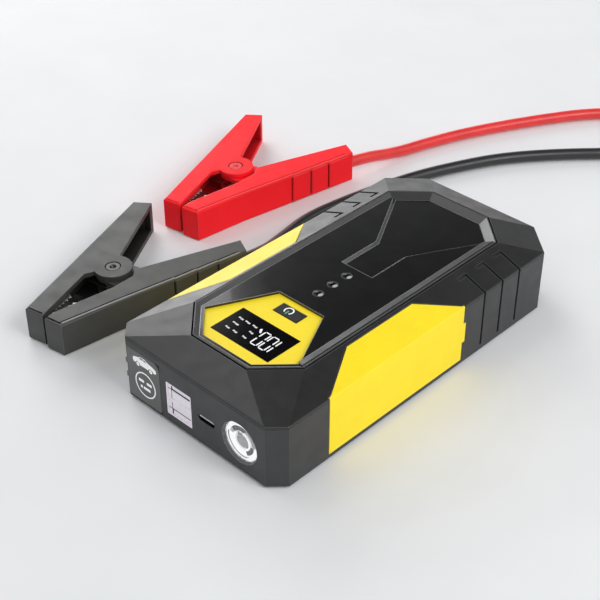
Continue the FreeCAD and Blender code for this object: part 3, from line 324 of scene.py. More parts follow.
# Glowing grey: painted highlight inside the USB-C mouth.
USB_C_TONGUE_GLOW = glowing("tongue_grey_glow", (0.50, 0.50, 0.50), 0.22)
SMOKED = moulded("torch_smoked", (0.012, 0.012, 0.012), 0.3, 0.8, 0.1, specular=0.2)
BOARD = circuit_board("circuit_board")
RED_JACKET = rubber_jacket("lead_red", (0.86, 0.035, 0.032), 0.35)
BLACK_JACKET = rubber_jacket("lead_black", (0.020, 0.020, 0.021), 0.25)
LENS = clear("torch_clear", (0.96, 0.97, 1.0), 0.12, 0.05)
PIPE = moulded("light_pipe", (0.006, 0.006, 0.006), 0.5, specular=0.15)
LIT = glowing("display_white", (0.80, 0.81, 0.82), 0.30)
LIT_SOFT = glowing("display_soft", (0.62, 0.63, 0.64), 0.22)
# Printed marks that glow a little: painted light.
PRINT_GLOW = glowing("print_white_glow", (0.92, 0.92, 0.92), 0.18)
# Glowing marks that paint the indicators' highlights.
BRIGHT_GLINT = glowing("glint_bright", (0.42, 0.42, 0.42), 0.06)
DIM_GLINT = glowing("glint_dim", (0.13, 0.13, 0.13), 0.02)
# Printed green stroke that glows a little: painted light.
GREEN_GLOW = glowing("power_green_glow", (0.10, 0.42, 0.22), 0.15)
# Slight glow: painted light in the USB mouths.
USB_WHITE_GLOW = glowing("usb_white_glow", (0.84, 0.79, 0.85), 0.12, 0.4)
LED = glowing("led_white", (0.95, 0.93, 0.82), 0.5, 0.2)
# Glowing arcs that paint the torch reflector's highlights; the grey glow on the rim arcs and centre lens is
# painted light.
TORCH_HIGHLIGHT = glowing("torch_highlight_white", (0.96, 0.96, 0.97), 0.55, 0.15)
TORCH_GREY_GLOW = glowing("torch_grey_glow", (0.36, 0.36, 0.37), 0.10, 0.2)

NODE_MATERIALS = {
    CASE: ["lower_shell"],
    CASE_UPPER: ["upper_shell"],
    RIM: ["top_rim"],
    PANEL: ["top_panel"],
    YELLOW_WALL: ["side_panel_right", "side_panel_left"],
    YELLOW_PLATE: ["display_plate"],
    WINDOW: ["display_window"],
    KEY: ["power_button"],
    COVER: ["socket_cover"],
    SOCKET: ["display_module", "button_switch", "jump_socket", "usb_c_tongue"],
    PIPE: ["indicator_lights"],
    NICKEL: ["socket_contacts", "cell_bars", "plug_contacts"],
    PORT_STEEL: ["usb_c_socket"],
    USB_WHITE_GLOW: ["usb_a_shell", "usb_a_inserts"],
    LENS: ["torch_lens"],
    CHROME: ["torch_reflector"],
    LED: ["torch_led"],
    BOARD: ["torch_board", "port_board", "main_board"],
    POUCH: ["battery_cells"],
    FOAM: ["cell_pads"],
    FEET: ["rubber_feet"],
    LABEL: ["base_pad"],
    STEEL: ["case_screws", "black_clamp_spring", "red_clamp_spring"],
    RIVET: ["black_pivot_rivet"],
    RED_RIVET: ["red_pivot_rivet"],
    BLACK_ABS: ["black_clamp_body", "black_clamp_lever"],
    RED_ABS: ["red_clamp_body", "red_clamp_lever"],
    SHADED_JAW_STEEL: ["black_fixed_jaw", "black_lever_jaw"],
    COPPER: ["black_lead_lug", "red_lead_lug"],
    RED_JAW: ["red_fixed_jaw", "red_lever_jaw"],
    RED_JACKET: ["inner_leads", "red_lead"],
    BLACK_JACKET: ["black_lead", "lead_strain_reliefs"],
    PLUG_BLUE: ["plug_body"],
}


def give_material(piece, material):
    """Give a piece one material in all its slots."""
    if not piece.material_slots:
        piece.data.materials.append(material)
    for slot in piece.material_slots:
        slot.material = material


def paint_nodes():
    """Give every CAD node its material."""
    for material, names in NODE_MATERIALS.items():
        for name in names:
            give_material(NODES[name], material)


# ------------------------------------------------------------------ meshes

WELD_DISTANCE = 1e-5
BEVEL_STEPS, BEVEL_ANGLE = 2, 40


def new_piece(name, bm, material, body, bevel=0.0, smooth=False):
    """A piece from a mesh in millimetres, riding on a body."""
    bmesh.ops.remove_doubles(bm, verts=bm.verts, dist=WELD_DISTANCE)
    bmesh.ops.recalc_face_normals(bm, faces=bm.faces)
    bmesh.ops.scale(bm, vec=(MM, MM, MM), verts=bm.verts)
    mesh = bpy.data.meshes.new(name)
    bm.to_mesh(mesh)
    bm.free()
    piece = bpy.data.objects.new(name, mesh)
    SCENE.collection.objects.link(piece)
    give_material(piece, material)
    if smooth:
        mesh.shade_smooth()
    if bevel:
        modifier = piece.modifiers.new("edges", "BEVEL")
        modifier.width = bevel * MM
        modifier.segments = BEVEL_STEPS
        modifier.limit_method = "ANGLE"
        modifier.angle_limit = math.radians(BEVEL_ANGLE)
    if body:
        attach(piece, body)
    return piece


FRONT_Y = -82.0


def on_top(u, v, w):
    """Local (u, v, w) to a level surface: u along X, v along Y, w up."""
    return (u, v, w)


def on_front(u, v, w):
    """Local (u, v, w) to the front face: u along X, v along Z, w outwards."""
    return (u, FRONT_Y - w, v)


def join_rings(bm, rings):
    """Bands of faces between neighbouring rings that have as many points."""
    for first, second in zip(rings, rings[1:]):
        for k in range(len(first)):
            n = (k + 1) % len(first)
            bm.faces.new((first[k], first[n], second[n], second[k]))


def close_ends(bm, rings):
    """A face over the first ring and one over the last."""
    bm.faces.new(rings[0][::-1])
    bm.faces.new(rings[-1])


def round_ring(bm, centre, radius, sides, w, to_space, turn=0.0):
    """Ring of points round a centre, turned by a share of one side."""
    ring = []
    for k in range(sides):
        angle = 2 * math.pi * (k + turn) / sides
        ring.append(bm.verts.new(to_space(centre[0] + radius * math.cos(angle),
                                          centre[1] + radius * math.sin(angle), w)))
    return ring


def add_prism(bm, outline, low, high, to_space):
    """Closed prism over an outline, between two heights."""
    rings = [[bm.verts.new(to_space(u, v, w)) for u, v in outline] for w in (low, high)]
    close_ends(bm, rings)
    join_rings(bm, rings)


def add_block(bm, u_range, v_range, low, high, to_space):
    """Closed block between two heights."""
    (u0, u1), (v0, v1) = u_range, v_range
    add_prism(bm, [(u0, v0), (u1, v0), (u1, v1), (u0, v1)], low, high, to_space)


def add_arc(bm, centre, inner, outer, start, end, low, high, to_space, steps=40):
    """Flat ring or part of one, from a start angle to an end angle in degrees."""
    full = end - start >= 360
    section = [(inner, low), (outer, low), (outer, high), (inner, high)]
    rings = []
    for i in range(steps if full else steps + 1):
        angle = math.radians(start + (end - start) * i / steps)
        c, s = math.cos(angle), math.sin(angle)
        rings.append([bm.verts.new(to_space(centre[0] + r * c, centre[1] + r * s, w)) for r, w in section])
    if full:
        join_rings(bm, rings + rings[:1])
    else:
        join_rings(bm, rings)
        close_ends(bm, rings)


def add_sweep(bm, points, radius, sides=10):
    """Round bar along a line of points, with closed ends."""
    rings = []
    normal = Vector((0, 0, 1))
    for i, point in enumerate(points):
        ahead = (points[min(i + 1, len(points) - 1)] - points[max(i - 1, 0)]).normalized()
        normal = (normal - ahead * normal.dot(ahead)).normalized()
        side = ahead.cross(normal)
        ring = []
        for k in range(sides):
            angle = 2 * math.pi * k / sides
            ring.append(bm.verts.new(point + (normal * math.cos(angle) + side * math.sin(angle)) * radius))
        rings.append(ring)
    join_rings(bm, rings)
    close_ends(bm, rings)


# ------------------------------------------------------------------ display and button

WINDOW_TOP = 30.85
MARK_LOW, MARK_HIGH = WINDOW_TOP - 0.03, WINDOW_TOP + 0.05
DIGIT_WIDTH, DIGIT_HEIGHT, STROKE = 3.45, 8.9, 0.54
DIGIT_TOP = -46.8
# Gap at a segment's end, at an outer corner and at the waist of the digit.
CORNER_GAP, WAIST_GAP = 0.16, 0.42
# Left edge and lit segments of each digit.
DIGITS = ((1.75, "abcdef"), (5.75, "abcdef"), (7.15, "bc"))
PERCENT_STROKE = [(-0.7, -46.9), (-0.1, -46.7), (0.95, -48.5), (0.9, -49.1), (0.3, -48.9), (-0.75, -47.5)]
# Y of each row of small bars, then the middle and the width of each pair.
BAR_ROWS = ((-47.7, ((-10.5, 2.5), (-7.0, 2.5), (-3.35, 2.4))),
            (-51.2, ((-9.8, 3.1), (-1.7, 2.1))),
            (-54.8, ((-10.35, 2.2), (-6.45, 2.2), (-1.65, 2.1))))


def add_segment(bm, start, end):
    """One display segment: a bar with pointed ends."""
    start, end = Vector(start), Vector(end)
    along = (end - start).normalized()
    across = Vector((-along.y, along.x)) * STROKE / 2
    outline = [start, start + along * STROKE / 2 + across, end - along * STROKE / 2 + across,
               end, end - along * STROKE / 2 - across, start + along * STROKE / 2 - across]
    add_prism(bm, [tuple(p) for p in outline], MARK_LOW, MARK_HIGH, on_top)


def add_digit(bm, left, segments):
    """Segment digit: a at the top, then clockwise b and c, d at the bottom, e and f."""
    width, half = DIGIT_WIDTH - STROKE, (DIGIT_HEIGHT - STROKE) / 2
    x0, x1 = left + STROKE / 2, left + STROKE / 2 + width
    y0 = DIGIT_TOP - STROKE / 2
    y1, y2 = y0 - half, y0 - 2 * half
    gap, waist = CORNER_GAP, WAIST_GAP
    ends = {"a": ((x0 + gap, y0), (x1 - gap, y0)), "d": ((x0 + gap, y2), (x1 - gap, y2)),
            "f": ((x0, y0 - gap), (x0, y1 + waist)), "e": ((x0, y1 - waist), (x0, y2 + gap)),
            "b": ((x1, y0 - gap), (x1, y1 + waist)), "c": ((x1, y1 - waist), (x1, y2 + gap))}
    for key in segments:
        add_segment(bm, *ends[key])


def add_display_marks():
    """Lit digits, a per cent stroke and small generic bars in the window."""
    bm = bmesh.new()
    for left, segments in DIGITS:
        add_digit(bm, left, segments)
    add_prism(bm, PERCENT_STROKE, MARK_LOW, MARK_HIGH, on_top)
    new_piece("display_digits", bm, LIT, "pack")
    bm = bmesh.new()
    for y, bars in BAR_ROWS:
        for x, width in bars:
            half = width / 2
            add_block(bm, (x - half, x - 0.10 * width), (y - 0.05, y + 0.62), MARK_LOW, MARK_HIGH, on_top)
            add_block(bm, (x - 0.02 * width, x + half), (y - 0.30, y + 0.42), MARK_LOW, MARK_HIGH, on_top)
    new_piece("display_bars", bm, LIT_SOFT, "pack")


KEY_CENTRE = (-0.83, -32.3)
SYMBOL_LOW, SYMBOL_HIGH = 31.03, 31.10
# Inner and outer radius, start and end angle of the open ring.
SYMBOL_RING = (1.52, 2.08, -52, 232)
STROKE_HALF_WIDTH, STROKE_FROM, STROKE_TO = 0.26, 2.2, 0.1


def add_button_symbol():
    """Generic power symbol on the key cap: an open ring and a stroke."""
    x, y = KEY_CENTRE
    bm = bmesh.new()
    add_arc(bm, KEY_CENTRE, *SYMBOL_RING, SYMBOL_LOW, SYMBOL_HIGH, on_top)
    new_piece("power_ring", bm, PRINT_GLOW, "button")
    bm = bmesh.new()
    add_block(bm, (x - STROKE_HALF_WIDTH, x + STROKE_HALF_WIDTH), (y - STROKE_FROM, y - STROKE_TO),
              SYMBOL_LOW, SYMBOL_HIGH, on_top)
    new_piece("power_stroke", bm, GREEN_GLOW, "button")


INDICATOR_YS = (-17.5, -9.5, -1.5)
BEZEL_INNER, BEZEL_OUTER = 1.35, 2.05
MARK_SUNK = 0.1
BEZEL_PROUD, GLINT_PROUD = 0.04, 0.07
# Place beside the eye, half length, half width and angle of each painted highlight.
NEAR_GLINT = ((1.35, -0.1), 1.25, 0.75, 82)
FAR_GLINT = ((-1.45, 0.2), 1.15, 0.55, 48)
POINTEDNESS = 0.3


def add_lens_shape(bm, centre, half_long, half_short, angle, low, high, steps=16):
    """Flat pointed oval on the top, its long way at an angle in degrees."""
    c, s = math.cos(math.radians(angle)), math.sin(math.radians(angle))
    outline = []
    for i in range(steps):
        turn = 2 * math.pi * i / steps
        u, v = half_long * math.cos(turn), half_short * math.sin(turn) * abs(math.sin(turn)) ** POINTEDNESS
        outline.append((centre[0] + u * c - v * s, centre[1] + u * s + v * c))
    add_prism(bm, outline, low, high, on_top)


def add_indicator_marks():
    """A ring round each indicator's dark eye, and two painted highlights beside it: a bright glint and a dim
    grey one.
    """
    near, far, ring = bmesh.new(), bmesh.new(), bmesh.new()
    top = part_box("top_panel")[1][2] / MM
    low, glint_top, bezel_top = top - MARK_SUNK, top + GLINT_PROUD, top + BEZEL_PROUD
    for y in INDICATOR_YS:
        for bm, ((x, shift), *size) in ((near, NEAR_GLINT), (far, FAR_GLINT)):
            add_lens_shape(bm, (x, y + shift), *size, low, glint_top)
        add_arc(ring, (0, y), BEZEL_INNER, BEZEL_OUTER, 0, 360, low, bezel_top, on_top, 28)
    new_piece("indicator_bezels", ring, KEY, "pack", 0.03)
    new_piece("indicator_glints", near, BRIGHT_GLINT, "pack", 0.03)
    new_piece("indicator_dim_glints", far, DIM_GLINT, "pack", 0.03)


# Section of the strip, (x, z), and the corners of the eight-sided top: Y and the mitre's angle at x = 28.6.
RAMP_SECTION = ((27.55, 33.06), (26.5, 33.10), (23.2, 31.94), (24.5, 31.3))
RAMP_CORNERS = ((-54.6, 22.5), (56.0, -24.1))
RAMP_CORNER_X = 28.6


def add_rim_ramp():
    """Sloping strip inside the rim's right side, mitred at the corners of the eight-sided top."""
    bm = bmesh.new()
    rings = []
    for corner_y, mitre in RAMP_CORNERS:
        slant = math.tan(math.radians(mitre))
        rings.append([bm.verts.new((x, corner_y + (RAMP_CORNER_X - x) * slant, z)) for x, z in RAMP_SECTION])
    join_rings(bm, rings)
    close_ends(bm, rings)
    # The strip's darker black is painted shade.
    new_piece("rim_side_ramp", bm, SHADED_RAMP, "pack", 0.06)


# ------------------------------------------------------------------ front face

PRINT_LOW, PRINT_HIGH = -0.02, 0.06
CAR_OUTLINE = [(-32.3, 20.0), (-32.2, 21.0), (-31.4, 21.5), (-29.6, 21.9), (-28.0, 22.7), (-25.6, 22.8),
               (-23.7, 21.9), (-21.6, 21.5), (-19.7, 20.9), (-19.4, 19.9), (-19.8, 19.1), (-21.1, 19.0),
               (-21.3, 19.7), (-22.5, 20.0), (-23.5, 19.6), (-23.8, 18.9), (-28.2, 18.9), (-28.5, 19.6),
               (-29.6, 20.0), (-30.7, 19.6), (-31.0, 18.9), (-32.0, 19.1)]
CAR_WINDOWS = ([(-28.9, 21.85), (-27.9, 22.4), (-26.6, 22.5), (-26.6, 21.75)],
               [(-26.2, 21.75), (-26.2, 22.5), (-25.6, 22.45), (-24.3, 21.8)])
WINDOW_STEP = 0.03
WHEEL_CENTRES, WHEEL_RADII = ((-29.6, 18.8), (-22.5, 18.8)), (0.25, 0.85)
COVER_RING_CENTRE, COVER_RING_RADII = (-26.2, 10.5), (5.1, 5.65)
COVER_BARS = (((-29.8, -27.0), (11.1, 12.3)), ((-25.4, -22.7), (11.1, 12.3)),
              ((-29.0, -27.9), (8.3, 9.5)), ((-27.3, -23.6), (8.3, 9.5)))


def add_cover_marks():
    """Generic car outline and ring with plain bars on the socket cover."""
    bm = bmesh.new()
    add_prism(bm, CAR_OUTLINE, PRINT_LOW, PRINT_HIGH, on_front)
    for centre in WHEEL_CENTRES:
        add_arc(bm, centre, *WHEEL_RADII, 0, 360, PRINT_LOW, PRINT_HIGH, on_front, 20)
    add_arc(bm, COVER_RING_CENTRE, *COVER_RING_RADII, 0, 360, PRINT_LOW, PRINT_HIGH, on_front, 56)
    for bar_x, bar_z in COVER_BARS:
        add_block(bm, bar_x, bar_z, PRINT_LOW, PRINT_HIGH, on_front)
    new_piece("cover_marks", bm, PRINT_GLOW, "cover")
    bm = bmesh.new()
    for window in CAR_WINDOWS:
        add_prism(bm, window, PRINT_HIGH - WINDOW_STEP, PRINT_HIGH + WINDOW_STEP, on_front)
    new_piece("cover_car_windows", bm, COVER, "cover")


USB_LEFT, USB_RIGHT = -13.75, -1.65
# Heights in each mouth: the tongue's bottom and top, then those of the space beside it.
USB_MOUTHS = ((12.75, 16.6, 16.85, 18.75), (7.9, 11.25, 5.25, 7.6))
TONGUE_FRONT, BACK_FRONT, USB_BACK = -0.35, -0.6, -9.0
CHEEK_WIDTH, TONGUE_INSET = 1.8, 2.0
SHADOW_BACK, TONGUE_SHADOW_FRONT, CHEEK_SHADOW_FRONT = -6.0, -0.30, -0.33
SHADOW_HALF_HEIGHT, SHADOW_SHIFT = 0.13, 0.1
CHEEK_SHADOW_START, CHEEK_SHADOW_END = 1.82, 1.98
# Z of the dark lines of painted shadow along the tongues, and the ends of those beside the cheeks.
TONGUE_SHADOW_ZS = (16.73, 7.75)
CHEEK_SHADOWS = ((12.8, 18.7), (5.3, 11.2))


def add_usb_tongues():
    """Pale blocks in the stacked USB mouths, glowing a little as painted light: tongue, cheek and back of
    each.
    """
    bm = bmesh.new()
    left, right = USB_LEFT, USB_RIGHT
    for z0, z1, gap0, gap1 in USB_MOUTHS:
        add_block(bm, (left + TONGUE_INSET, right), (z0, z1), USB_BACK, TONGUE_FRONT, on_front)
        add_block(bm, (left, left + CHEEK_WIDTH), (min(z0, gap0), max(z1, gap1)), USB_BACK, TONGUE_FRONT,
                  on_front)
        add_block(bm, (left + TONGUE_INSET, right), (gap0, gap1), USB_BACK, BACK_FRONT, on_front)
    piece = new_piece("usb_a_tongues", bm, USB_WHITE_GLOW, "pack", 0.12)
    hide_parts("usb_a_inserts")
    # Dark blocks that paint the shadow lines along the tongues and beside the cheeks.
    bm = bmesh.new()
    for z in TONGUE_SHADOW_ZS:
        add_block(bm, (left + SHADOW_SHIFT, right + SHADOW_SHIFT), (z - SHADOW_HALF_HEIGHT, z + SHADOW_HALF_HEIGHT),
                  SHADOW_BACK, TONGUE_SHADOW_FRONT, on_front)
    for z_range in CHEEK_SHADOWS:
        add_block(bm, (left + CHEEK_SHADOW_START, left + CHEEK_SHADOW_END), z_range, SHADOW_BACK, CHEEK_SHADOW_FRONT,
                  on_front)
    new_piece("usb_a_shadow_lines", bm, SOCKET, "pack")


TORCH_CENTRE = (23.5, 13.2)
CUP_SIDES, CUP_STEPS = 14, 4
CUP_MOUTH, CUP_DEPTH, CUP_HOLE_RADIUS, CUP_RIM_RADIUS, CUP_CURVE = -1.1, 8.2, 2.6, 8.2, 1.8
CUP_WALL = 0.45


def add_reflector():
    """Torch reflector with flat facets, in place of the smooth cup."""
    bm = bmesh.new()
    rings = []
    for i in range(CUP_STEPS + 1):
        share = 1 - i / CUP_STEPS
        radius = CUP_HOLE_RADIUS + (CUP_RIM_RADIUS - CUP_HOLE_RADIUS) * share
        rings.append(round_ring(bm, TORCH_CENTRE, radius, CUP_SIDES,
                                CUP_MOUTH - CUP_DEPTH * (1 - share ** CUP_CURVE), on_front, 0.5 * (i % 2)))
    for i, (a, b) in enumerate(zip(rings, rings[1:])):
        for k in range(CUP_SIDES):
            n = (k + 1) % CUP_SIDES
            if i % 2 == 0:
                bm.faces.new((a[k], a[n], b[k]))
                bm.faces.new((a[n], b[n], b[k]))
            else:
                bm.faces.new((a[k], b[n], b[k]))
                bm.faces.new((a[k], a[n], b[n]))
    piece = new_piece("torch_facets", bm, CHROME, "pack")
    solid = piece.modifiers.new("wall", "SOLIDIFY")
    solid.thickness = CUP_WALL * MM
    solid.offset = 1.0
    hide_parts("torch_reflector")


TORCH_ARCS = (
    # name, material, (inner, outer, start, end) for each arc
    ("torch_rim", TORCH_GREY_GLOW, ((7.9, 8.6, 0, 360), (6.5, 7.1, 172, 288), (5.0, 7.6, 4, 66))),
    ("torch_highlight_ring", TORCH_HIGHLIGHT, ((6.3, 7.85, 72, 168), (7.15, 7.85, 170, 300), (3.4, 6.4, 142, 296),
                                  (5.8, 7.85, -60, -2), (3.2, 4.0, -58, 84), (7.65, 7.85, 0, 68))),
    ("torch_slots", SMOKED, ((4.3, 6.25, 76, 164), (4.1, 5.75, -64, -12))),
)
OPTIC_BACK, OPTIC_FRONT = -2.0, -1.35
DEGREES_PER_STEP, FEWEST_STEPS = 7, 6
# Radius and place of each ring of the centre lens.
LENS_RINGS = ((2.9, -1.9), (2.6, -1.45), (1.8, -1.3), (0.9, -1.24))
LENS_SIDES = 28


def add_torch_optic():
    """Glowing bright arcs of painted highlight, glowing grey arcs, smoked slots and the glowing grey centre
    lens behind the torch's window.
    """
    for name, material, arcs in TORCH_ARCS:
        bm = bmesh.new()
        for inner, outer, start, end in arcs:
            steps = max(FEWEST_STEPS, int((end - start) / DEGREES_PER_STEP))
            add_arc(bm, TORCH_CENTRE, inner, outer, start, end, OPTIC_BACK, OPTIC_FRONT, on_front, steps)
        new_piece(name, bm, material, "pack", 0.08)
    bm = bmesh.new()
    rings = [round_ring(bm, TORCH_CENTRE, radius, LENS_SIDES, w, on_front) for radius, w in LENS_RINGS]
    close_ends(bm, rings)
    join_rings(bm, rings)
    new_piece("torch_centre_lens", bm, TORCH_GREY_GLOW, "pack", smooth=True)


USB_C_EDGE = ((3.2, 10.6), (13.5, 13.95), -2.0, -0.15)


def add_usb_c_edge():
    """Glowing pale edge of the tongue under the top of the USB-C mouth: a painted highlight."""
    bm = bmesh.new()
    add_block(bm, *USB_C_EDGE, on_front)
    new_piece("usb_c_edge", bm, USB_C_TONGUE_GLOW, "pack", 0.08)


# ------------------------------------------------------------------ clamps

# Place of each clamp's pivot on the floor, and the direction in which its jaws point, in degrees.
BLACK_CLAMP = (-90.4, -44.2, -79.4)
RED_CLAMP = (-113.4, 47.6, -79.0)
CLAMP_MIDDLE_Z = 7.25
# The clamps' top is at 14.5; the lines are let into it and stand a little proud.
LINE_LOW, LINE_TOP, RIDGE_TOP = 14.3, 14.54, 14.68
LINE_WIDTH, RIDGE_WIDTH, RIDGE_SHIFT = 0.95, 0.8, 0.8
# Where the near edge starts at the nose and bends, and the two ends of each stretch between grip lines.
NOSE_START, EDGE_BEND, GRIP_START = (41.2, 8.3), 17.5, -6.8
GRIP_STRETCHES = ((-6.8, -16.9), (-16.9, -26.4), (-26.4, -37.0))
# The near edge's distance from the middle line at the bend, and how fast it grows along the grip.
BEND_V, GRIP_SLOPE = 17.9, 0.376
# How far the lines lie inside the edge, there and at the step of each grip line, and the step's ends.
LINE_INSET, STEP_INSET, STEP_BEFORE, STEP_AFTER = 1.2, 0.6, 0.5, 0.2
BODY_NOSE = [(41.0, 0.8), (41.75, 0.8), (41.75, 8.3), (41.0, 8.6)]
LEVER_NOSE = [(40.1, -9.0), (40.85, -9.15), (40.75, -1.9), (40.0, -1.9)]
SPRING_TURNS, SPRING_PITCH, SPRING_RADIUS, SPRING_WIRE = 4, 1.15, 3.3, 0.45
SPRING_STEPS_PER_TURN = 20
# Points along the spring's straight legs, across the clamp.
LEVER_LEG = (-12.5, -9.5, -6.5, -3.5, -1.6)
BODY_LEG = (1.6, 4.5, 8.0, 12.0, 17.5)


def placed(place, u, v, z):
    """Point of a clamp's or the plug's own frame, in millimetres in the row frame."""
    x, y, angle = place
    c, s = math.cos(math.radians(angle)), math.sin(math.radians(angle))
    return Vector((x + u * c - v * s, y + u * s + v * c, z))


def near_edge_v(u):
    """Distance of the fixed half's near edge from the clamp's middle line, along the grip."""
    return BEND_V + (EDGE_BEND - u) * GRIP_SLOPE


def add_clamp_lines(name, place, line, ridge):
    """Fine dark line of painted shadow and a ridge with a painted highlight along the near top edge, with a
    small step at each grip line.
    """
    def to_clamp(u, v, w):
        return tuple(placed(place, u, v, w))

    path = [NOSE_START] + [(u, near_edge_v(u) - LINE_INSET) for u in (EDGE_BEND, GRIP_START)]
    for start, end in GRIP_STRETCHES:
        path += [(start - STEP_BEFORE, near_edge_v(start) - STEP_INSET),
                 (end + STEP_AFTER, near_edge_v(end) - LINE_INSET)]
    for suffix, shift, width, top, material in (("line", 0.0, LINE_WIDTH, LINE_TOP, line),
                                                ("ridge", RIDGE_SHIFT, RIDGE_WIDTH, RIDGE_TOP, ridge)):
        bm = bmesh.new()
        near = [(u, v + shift) for u, v in path]
        far = [(u, v - width) for u, v in near]
        add_prism(bm, near + far[::-1], LINE_LOW, top, to_clamp)
        new_piece(f"{name}_edge_{suffix}", bm, material, "pack")
    # Dark lines of painted shadow along the top edge of each nose.
    lever = name.replace("clamp", "lever")
    for half, body, outline in (("body", "pack", BODY_NOSE), ("lever", lever, LEVER_NOSE)):
        bm = bmesh.new()
        add_prism(bm, outline, LINE_LOW, LINE_TOP, to_clamp)
        new_piece(f"{name}_{half}_nose_line", bm, line, body)


def add_spring(name, place, node):
    """Torsion spring: a coil round the pivot, its low leg on the lever's side and its high leg on the clamp's
    fixed half.
    """
    rise = SPRING_TURNS * SPRING_PITCH
    low = CLAMP_MIDDLE_Z - rise / 2
    steps = SPRING_STEPS_PER_TURN * SPRING_TURNS
    line = [placed(place, SPRING_RADIUS, v, low) for v in LEVER_LEG]
    for i in range(steps + 1):
        angle = 2 * math.pi * SPRING_TURNS * i / steps
        line.append(placed(place, SPRING_RADIUS * math.cos(angle), SPRING_RADIUS * math.sin(angle),
                           low + rise * i / steps))
    line += [placed(place, SPRING_RADIUS, v, low + rise) for v in BODY_LEG]
    bm = bmesh.new()
    add_sweep(bm, line, SPRING_WIRE)
    spring = new_piece(name, bm, STEEL, None, smooth=True)
    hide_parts(node)
    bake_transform(spring)


# ------------------------------------------------------------------ leads

LEAD_DIAMETER = 5.5 * MM
# Heading and exit of a lead in its clamp's own frame.
LEAD_HEADING = Vector((-0.913, 0.408))
LEAD_EXIT = Vector((-42.0, 35.8))
LEAD_EXIT_Z = 7.25
# How far the route starts inside the clamp, and runs straight on outside it.
START_INSIDE, STRAIGHT_OUT = 10.5, 8.5
FLOOR_ROUTE_Z = 2.8
PLUG_PLACE = (68.0, 284.0, 28.0)
PLUG_Z = 5.3
PLUG_LEAD_SPACING, PLUG_ENTRY = 5.6, (-45.0, -27.0)


def along_exit(place, distance):
    """Point on the straight line along which a lead leaves its clamp, in metres."""
    u, v = LEAD_EXIT + LEAD_HEADING * distance
    return placed(place, u, v, LEAD_EXIT_Z) * MM


def lead_route(place, floor_points, side):
    """Route of a lead: out of its clamp, over the floor, into the plug's strain relief."""
    start = [along_exit(place, -START_INSIDE), along_exit(place, STRAIGHT_OUT)]
    middle = [Vector((x, y, FLOOR_ROUTE_Z)) * MM for x, y in floor_points]
    end = [placed(PLUG_PLACE, u, side * PLUG_LEAD_SPACING, PLUG_Z) * MM for u in PLUG_ENTRY]
    return start + middle + end


BLACK_FLOOR = [(-67.5, 31.0), (-71.0, 51.0), (-68.5, 72.0), (-64.8, 91.5), (-60.3, 111.5), (-51.8, 133.5),
               (-40.5, 156.5), (-22.0, 179.5), (-3.0, 198.5), (8.5, 219.5), (17.5, 240.0)]
RED_FLOOR = [(-81.3, 123.4), (-76.3, 141.8), (-70.0, 160.6), (-61.0, 180.5), (-50.0, 201.5),
             (-38.0, 221.5), (-24.0, 236.5), (-8.0, 250.5), (8.5, 260.0)]


def add_lead(name, points, node, jacket):
    """One lead as a smooth round curve through its route."""
    curve = bpy.data.curves.new(name, "CURVE")
    curve.dimensions = "3D"
    curve.bevel_depth = LEAD_DIAMETER / 2
    curve.bevel_resolution = 10
    curve.resolution_u = 14
    curve.use_fill_caps = True
    spline = curve.splines.new("NURBS")
    spline.points.add(len(points) - 1)
    for control, point in zip(spline.points, points):
        control.co = (*point, 1.0)
    spline.order_u = 3
    spline.use_endpoint_u = True
    curve.materials.append(jacket)
    lead = bpy.data.objects.new(name, curve)
    SCENE.collection.objects.link(lead)
    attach(lead, "pack")
    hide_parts(node)


# ------------------------------------------------------------------ floor and light

FLOOR_HALF_SIZE, FLOOR_Z = 6000.0, -0.3


def add_floor():
    """Plain pale floor, very slightly mottled."""
    bm = bmesh.new()
    size = FLOOR_HALF_SIZE
    bm.faces.new([bm.verts.new((x, y, FLOOR_Z)) for x, y in ((-size, -size), (size, -size), (size, size),
                                                             (-size, size))])
    s = Shader("floor_pale")
    tone = s.patchy(0.05, (0.80, 0.81, 0.82), (0.83, 0.84, 0.85))
    s.link(tone, s.shader.inputs["Base Color"])
    s.set("Roughness", 0.75)
    floor = new_piece("floor", bm, s.material, None)


# Name, azimuth and elevation in degrees, distance and size in metres, and brightness of each soft box.
LIGHTS = (
    ("key_box", 4, 41, 1.3, (0.6, 0.6), 6.3),
    ("top_box", 186, 60, 1.2, (0.5, 0.45), 2.0),
    ("left_box", 157, 20, 1.2, (0.60, 0.86), 3.6),
    ("rear_strip", 133, 6, 1.25, (0.8, 0.22), 1.3),
    ("far_box", 55, 46, 1.2, (0.4, 0.4), 1.6),
)


def add_area(name, azimuth, elevation, distance, size, radiance):
    """Soft box that faces the pack from a direction given in degrees."""
    data = bpy.data.lights.new(name, "AREA")
    data.shape = "RECTANGLE"
    data.size, data.size_y = size
    data.energy = radiance * math.pi * size[0] * size[1]
    light = bpy.data.objects.new(name, data)
    SCENE.collection.objects.link(light)
    a, e = math.radians(azimuth), math.radians(elevation)
    towards = Vector((math.cos(a) * math.cos(e), math.sin(a) * math.cos(e), math.sin(e)))
    light.location = towards * distance
    light.rotation_mode = "QUATERNION"
    light.rotation_quaternion = towards.to_track_quat("Z", "Y")


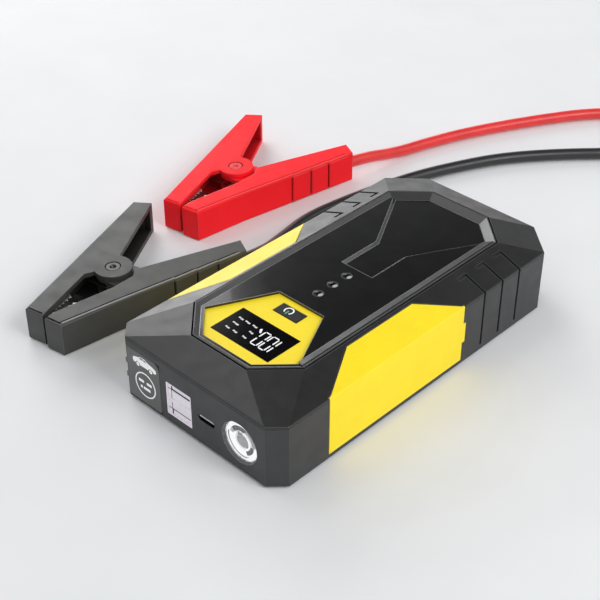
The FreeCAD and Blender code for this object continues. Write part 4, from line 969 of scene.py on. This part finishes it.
# The ceiling's darker part: its direction, the cosines at which it starts and is full, and both strengths.
DARK_TOWARDS = (-0.18, 0.50, 0.85)
DARK_START, DARK_FULL = 0.80, 0.90
FILL_STRENGTH, DARK_STRENGTH = 0.66, 0.04
FILL_COLOUR = (0.97, 0.98, 1.0, 1)


def add_world():
    """Even studio fill with one darker part of the ceiling."""
    world = bpy.data.worlds.new("studio")
    world.use_nodes = True
    tree = world.node_tree
    background = tree.nodes["Background"]
    coordinates = tree.nodes.new("ShaderNodeTexCoord")
    dot = tree.nodes.new("ShaderNodeVectorMath")
    dot.operation = "DOT_PRODUCT"
    dot.inputs[1].default_value = Vector(DARK_TOWARDS).normalized()
    shade = tree.nodes.new("ShaderNodeMapRange")
    shade.interpolation_type = "SMOOTHSTEP"
    shade.inputs["From Min"].default_value, shade.inputs["From Max"].default_value = DARK_START, DARK_FULL
    shade.inputs["To Min"].default_value = FILL_STRENGTH
    shade.inputs["To Max"].default_value = DARK_STRENGTH
    tree.links.new(coordinates.outputs["Generated"], dot.inputs[0])
    tree.links.new(dot.outputs["Value"], shade.inputs["Value"])
    tree.links.new(shade.outputs[0], background.inputs["Strength"])
    background.inputs["Color"].default_value = FILL_COLOUR
    SCENE.world = world


# ------------------------------------------------------------------ build

add_camera()
paint_nodes()
add_display_marks()
add_button_symbol()
add_indicator_marks()
add_cover_marks()
add_usb_tongues()
add_reflector()
add_torch_optic()
add_usb_c_edge()
add_rim_ramp()
add_clamp_lines("black_clamp", BLACK_CLAMP, BLACK_SHADE_LINE, BLACK_RIDGE_HIGHLIGHT)
add_clamp_lines("red_clamp", RED_CLAMP, RED_SHADE_LINE, RED_RIDGE_HIGHLIGHT)
add_spring("black_spring", BLACK_CLAMP, "black_clamp_spring")
add_spring("red_spring", RED_CLAMP, "red_clamp_spring")
add_lead("black_lead_cable", lead_route(BLACK_CLAMP, BLACK_FLOOR, -1),
         "black_lead", BLACK_JACKET)
add_lead("red_lead_cable", lead_route(RED_CLAMP, RED_FLOOR, 1), "red_lead", RED_JACKET)
add_floor()
add_world()
for light in LIGHTS:
    add_area(*light)
SCENE.view_settings.view_transform = "Standard"
